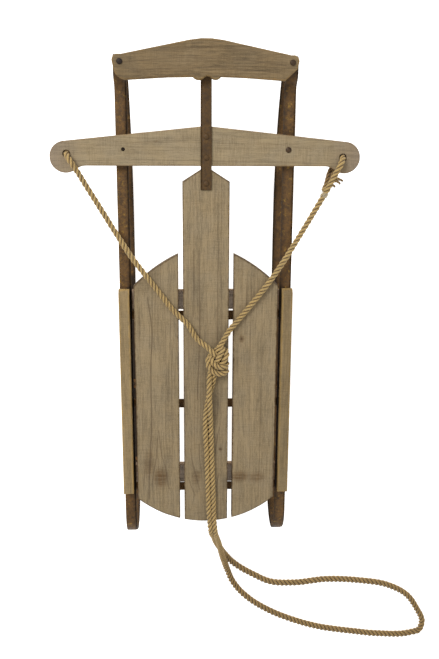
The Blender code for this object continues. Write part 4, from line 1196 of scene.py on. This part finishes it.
# Painted shade on the rope's tail below the bar's right end: the height, negated, where it starts,
# and over what distance it grows.
BELOW_BAR_SHADE = (-0.1475, 0.004)
STOPPER_Z, STOPPER_SIZE, STOPPER_LIFT = 0.1212, 0.0021, 0.0040
BINDING_TURNS, BINDING_LENGTH = 4, 0.0088
FRAYED = 0.0030                 # radius of a frayed strand; the spare end is thicker
SPARE_END = 0.0046
END_STRANDS = (
    (FRAYED, [(0.2262, 0.2455, 0.151), (0.2327, 0.2446, 0.156), (0.2385, 0.2424, 0.1562),
              (0.2432, 0.2402, 0.154)]),
    (FRAYED, [(0.224, 0.2405, 0.15), (0.2319, 0.24, 0.1545), (0.2355, 0.2378, 0.154),
              (0.2385, 0.2345, 0.152)]),
    (FRAYED, [(0.22, 0.233, 0.149), (0.2262, 0.2328, 0.1525), (0.2297, 0.2291, 0.1505)]),
    (SPARE_END, [(0.244, 0.272, 0.118), (0.238, 0.264, 0.123), (0.231, 0.254, 0.131),
                 (0.224, 0.24, 0.14), (0.216, 0.224, 0.144)]))


def stopper_knot():
    """A trefoil knot in the rope's end under the bar's left hole."""
    x, y = ROPE_HOLE["left"]
    knot = [(x, y, 0.1300)]
    for t in (2 * math.pi * i / 32 for i in range(2, 31)):
        knot.append((x + STOPPER_SIZE * (math.sin(t) + 2 * math.sin(2 * t)),
                     y + STOPPER_SIZE * (math.cos(t) - 2 * math.cos(2 * t)),
                     STOPPER_Z - STOPPER_LIFT * math.sin(3 * t)))
    knot.append((x + 0.003, y - 0.005, 0.1130))
    stopper, _ = laid("left_stopper_knot", knot, 0.0043, STRAND_LAY)
    settle(stopper, "rope_fibre", "steering", "rope_fibre", "rope_left_stopper")
    return stopper


def twine_binding():
    """Twine round the right leg, where the spare end is tied back to it."""
    first, last = Vector(RIGHT_LEG[6]), Vector(RIGHT_LEG[7])
    centre, way = first.lerp(last, 0.62), (last - first).normalized()
    side = way.orthogonal().normalized()
    other = way.cross(side)
    reach, coil = CREST + 0.0006, []
    for i in range(BINDING_TURNS * 16 + 1):
        a = 2 * math.pi * i / 16
        along = way * (i / (BINDING_TURNS * 16) - 0.5) * BINDING_LENGTH
        coil.append(centre + along + (side * math.cos(a) + other * math.sin(a)) * reach)
    binding, _ = laid("rope_binding", coil, 0.0008, 0.004, strands=2, step=0.0009, around=4)
    settle(binding, "twine_fibre", "steering", "twine_fibre", "rope_seizing")
    return binding


def rope():
    """The pull rope in one length, from under the bar's left end, through the knot and round
    the loop, back through the knot and down through the bar's right end."""
    start = LEFT_LEG + KNOT_FIRST
    finish = KNOT_SECOND[::-1] + RIGHT_LEG[::-1] + RIGHT_TAIL
    piece, centres = laid("pull_rope", start + LOOP + finish, CREST, STRAND_LAY, swell=SWELL)
    settle(piece, "rope_fibre", None, "rope_fibre",
           "rope_left_leg", "rope_right_leg", "rope_loop", "rope_knot", "rope_right_tail")
    x, y, z = coordinates(piece).T
    # Painted shade on the tail below the bar, and the rope painted darker on the ground.
    below_bar = grows(-z, BELOW_BAR_SHADE) * (x > 0.2) * (y > 0.2)
    ground = np.array([slack(spot) for spot in coordinates(piece)])
    write_attribute(piece, "painted_shade_and_darkening", below_bar + GROUND_DARKENING * ground)

    extras = [stopper_knot(), twine_binding()]
    for i, (thick, points) in enumerate(END_STRANDS):
        stub, _ = laid(f"rope_end_strand_{i + 1}", points, thick, 0.014, fray=0.35, around=6)
        # Painted shade: the end strands by the tail are darkened like the tail.
        write_attribute(stub, "painted_shade_and_darkening", [0.8] * len(stub.data.vertices))
        settle(stub, "rope_fibre", "steering", "rope_fibre")
        extras.append(stub)
    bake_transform(piece)


# ---------------------------------------------------------------- stage
FLOOR_GLOW = 0.74
SKY = 0.62
LAMPS = (("key", (-1.5, 1.7, 2.4), 1.1, 62.0), ("fill", (1.8, -1.2, 2.6), 2.2, 14.0))


def stage():
    floor = make_object("floor", [(-6, -6, 0), (6, -6, 0), (6, 6, 0), (-6, 6, 0)], [(0, 1, 2, 3)])
    s = Shade()
    s.material.name = "floor_white"
    dust = s.noise(s.here(), 9, 3, 0.5)
    s.feed(s.shader.inputs["Base Color"], s.ramp(dust, [(0.3, (0.90, 0.90, 0.90)),
                                                        (0.7, (0.93, 0.93, 0.93))]))
    s.shader.inputs["Roughness"].default_value = 0.9
    s.shader.inputs["Emission Color"].default_value = (1, 1, 1, 1)
    s.shader.inputs["Emission Strength"].default_value = FLOOR_GLOW
    floor.data.materials.append(s.material)

    world = bpy.data.worlds.new("studio")
    world.use_nodes = True
    sky = world.node_tree.nodes["Background"].inputs
    sky["Color"].default_value = (1.0, 0.99, 0.97, 1)
    sky["Strength"].default_value = SKY
    bpy.context.scene.world = world
    for name, place, size, power in LAMPS:
        data = bpy.data.lights.new(name, "AREA")
        data.shape = "DISK"
        data.size = size
        data.energy = power
        lamp = bpy.data.objects.new(name, data)
        bpy.context.scene.collection.objects.link(lamp)
        lamp.location = place
        lamp.rotation_euler = (Vector((0, -0.1, 0.1)) - Vector(place)).to_track_quat(
            "-Z", "Y").to_euler()
    bpy.context.scene.view_settings.view_transform = "Standard"


set_camera()
rope()
slats()
rails()
battens()
bumper()
steering_bar()
runners()
crossbars()
strap()
fasteners()
stage()
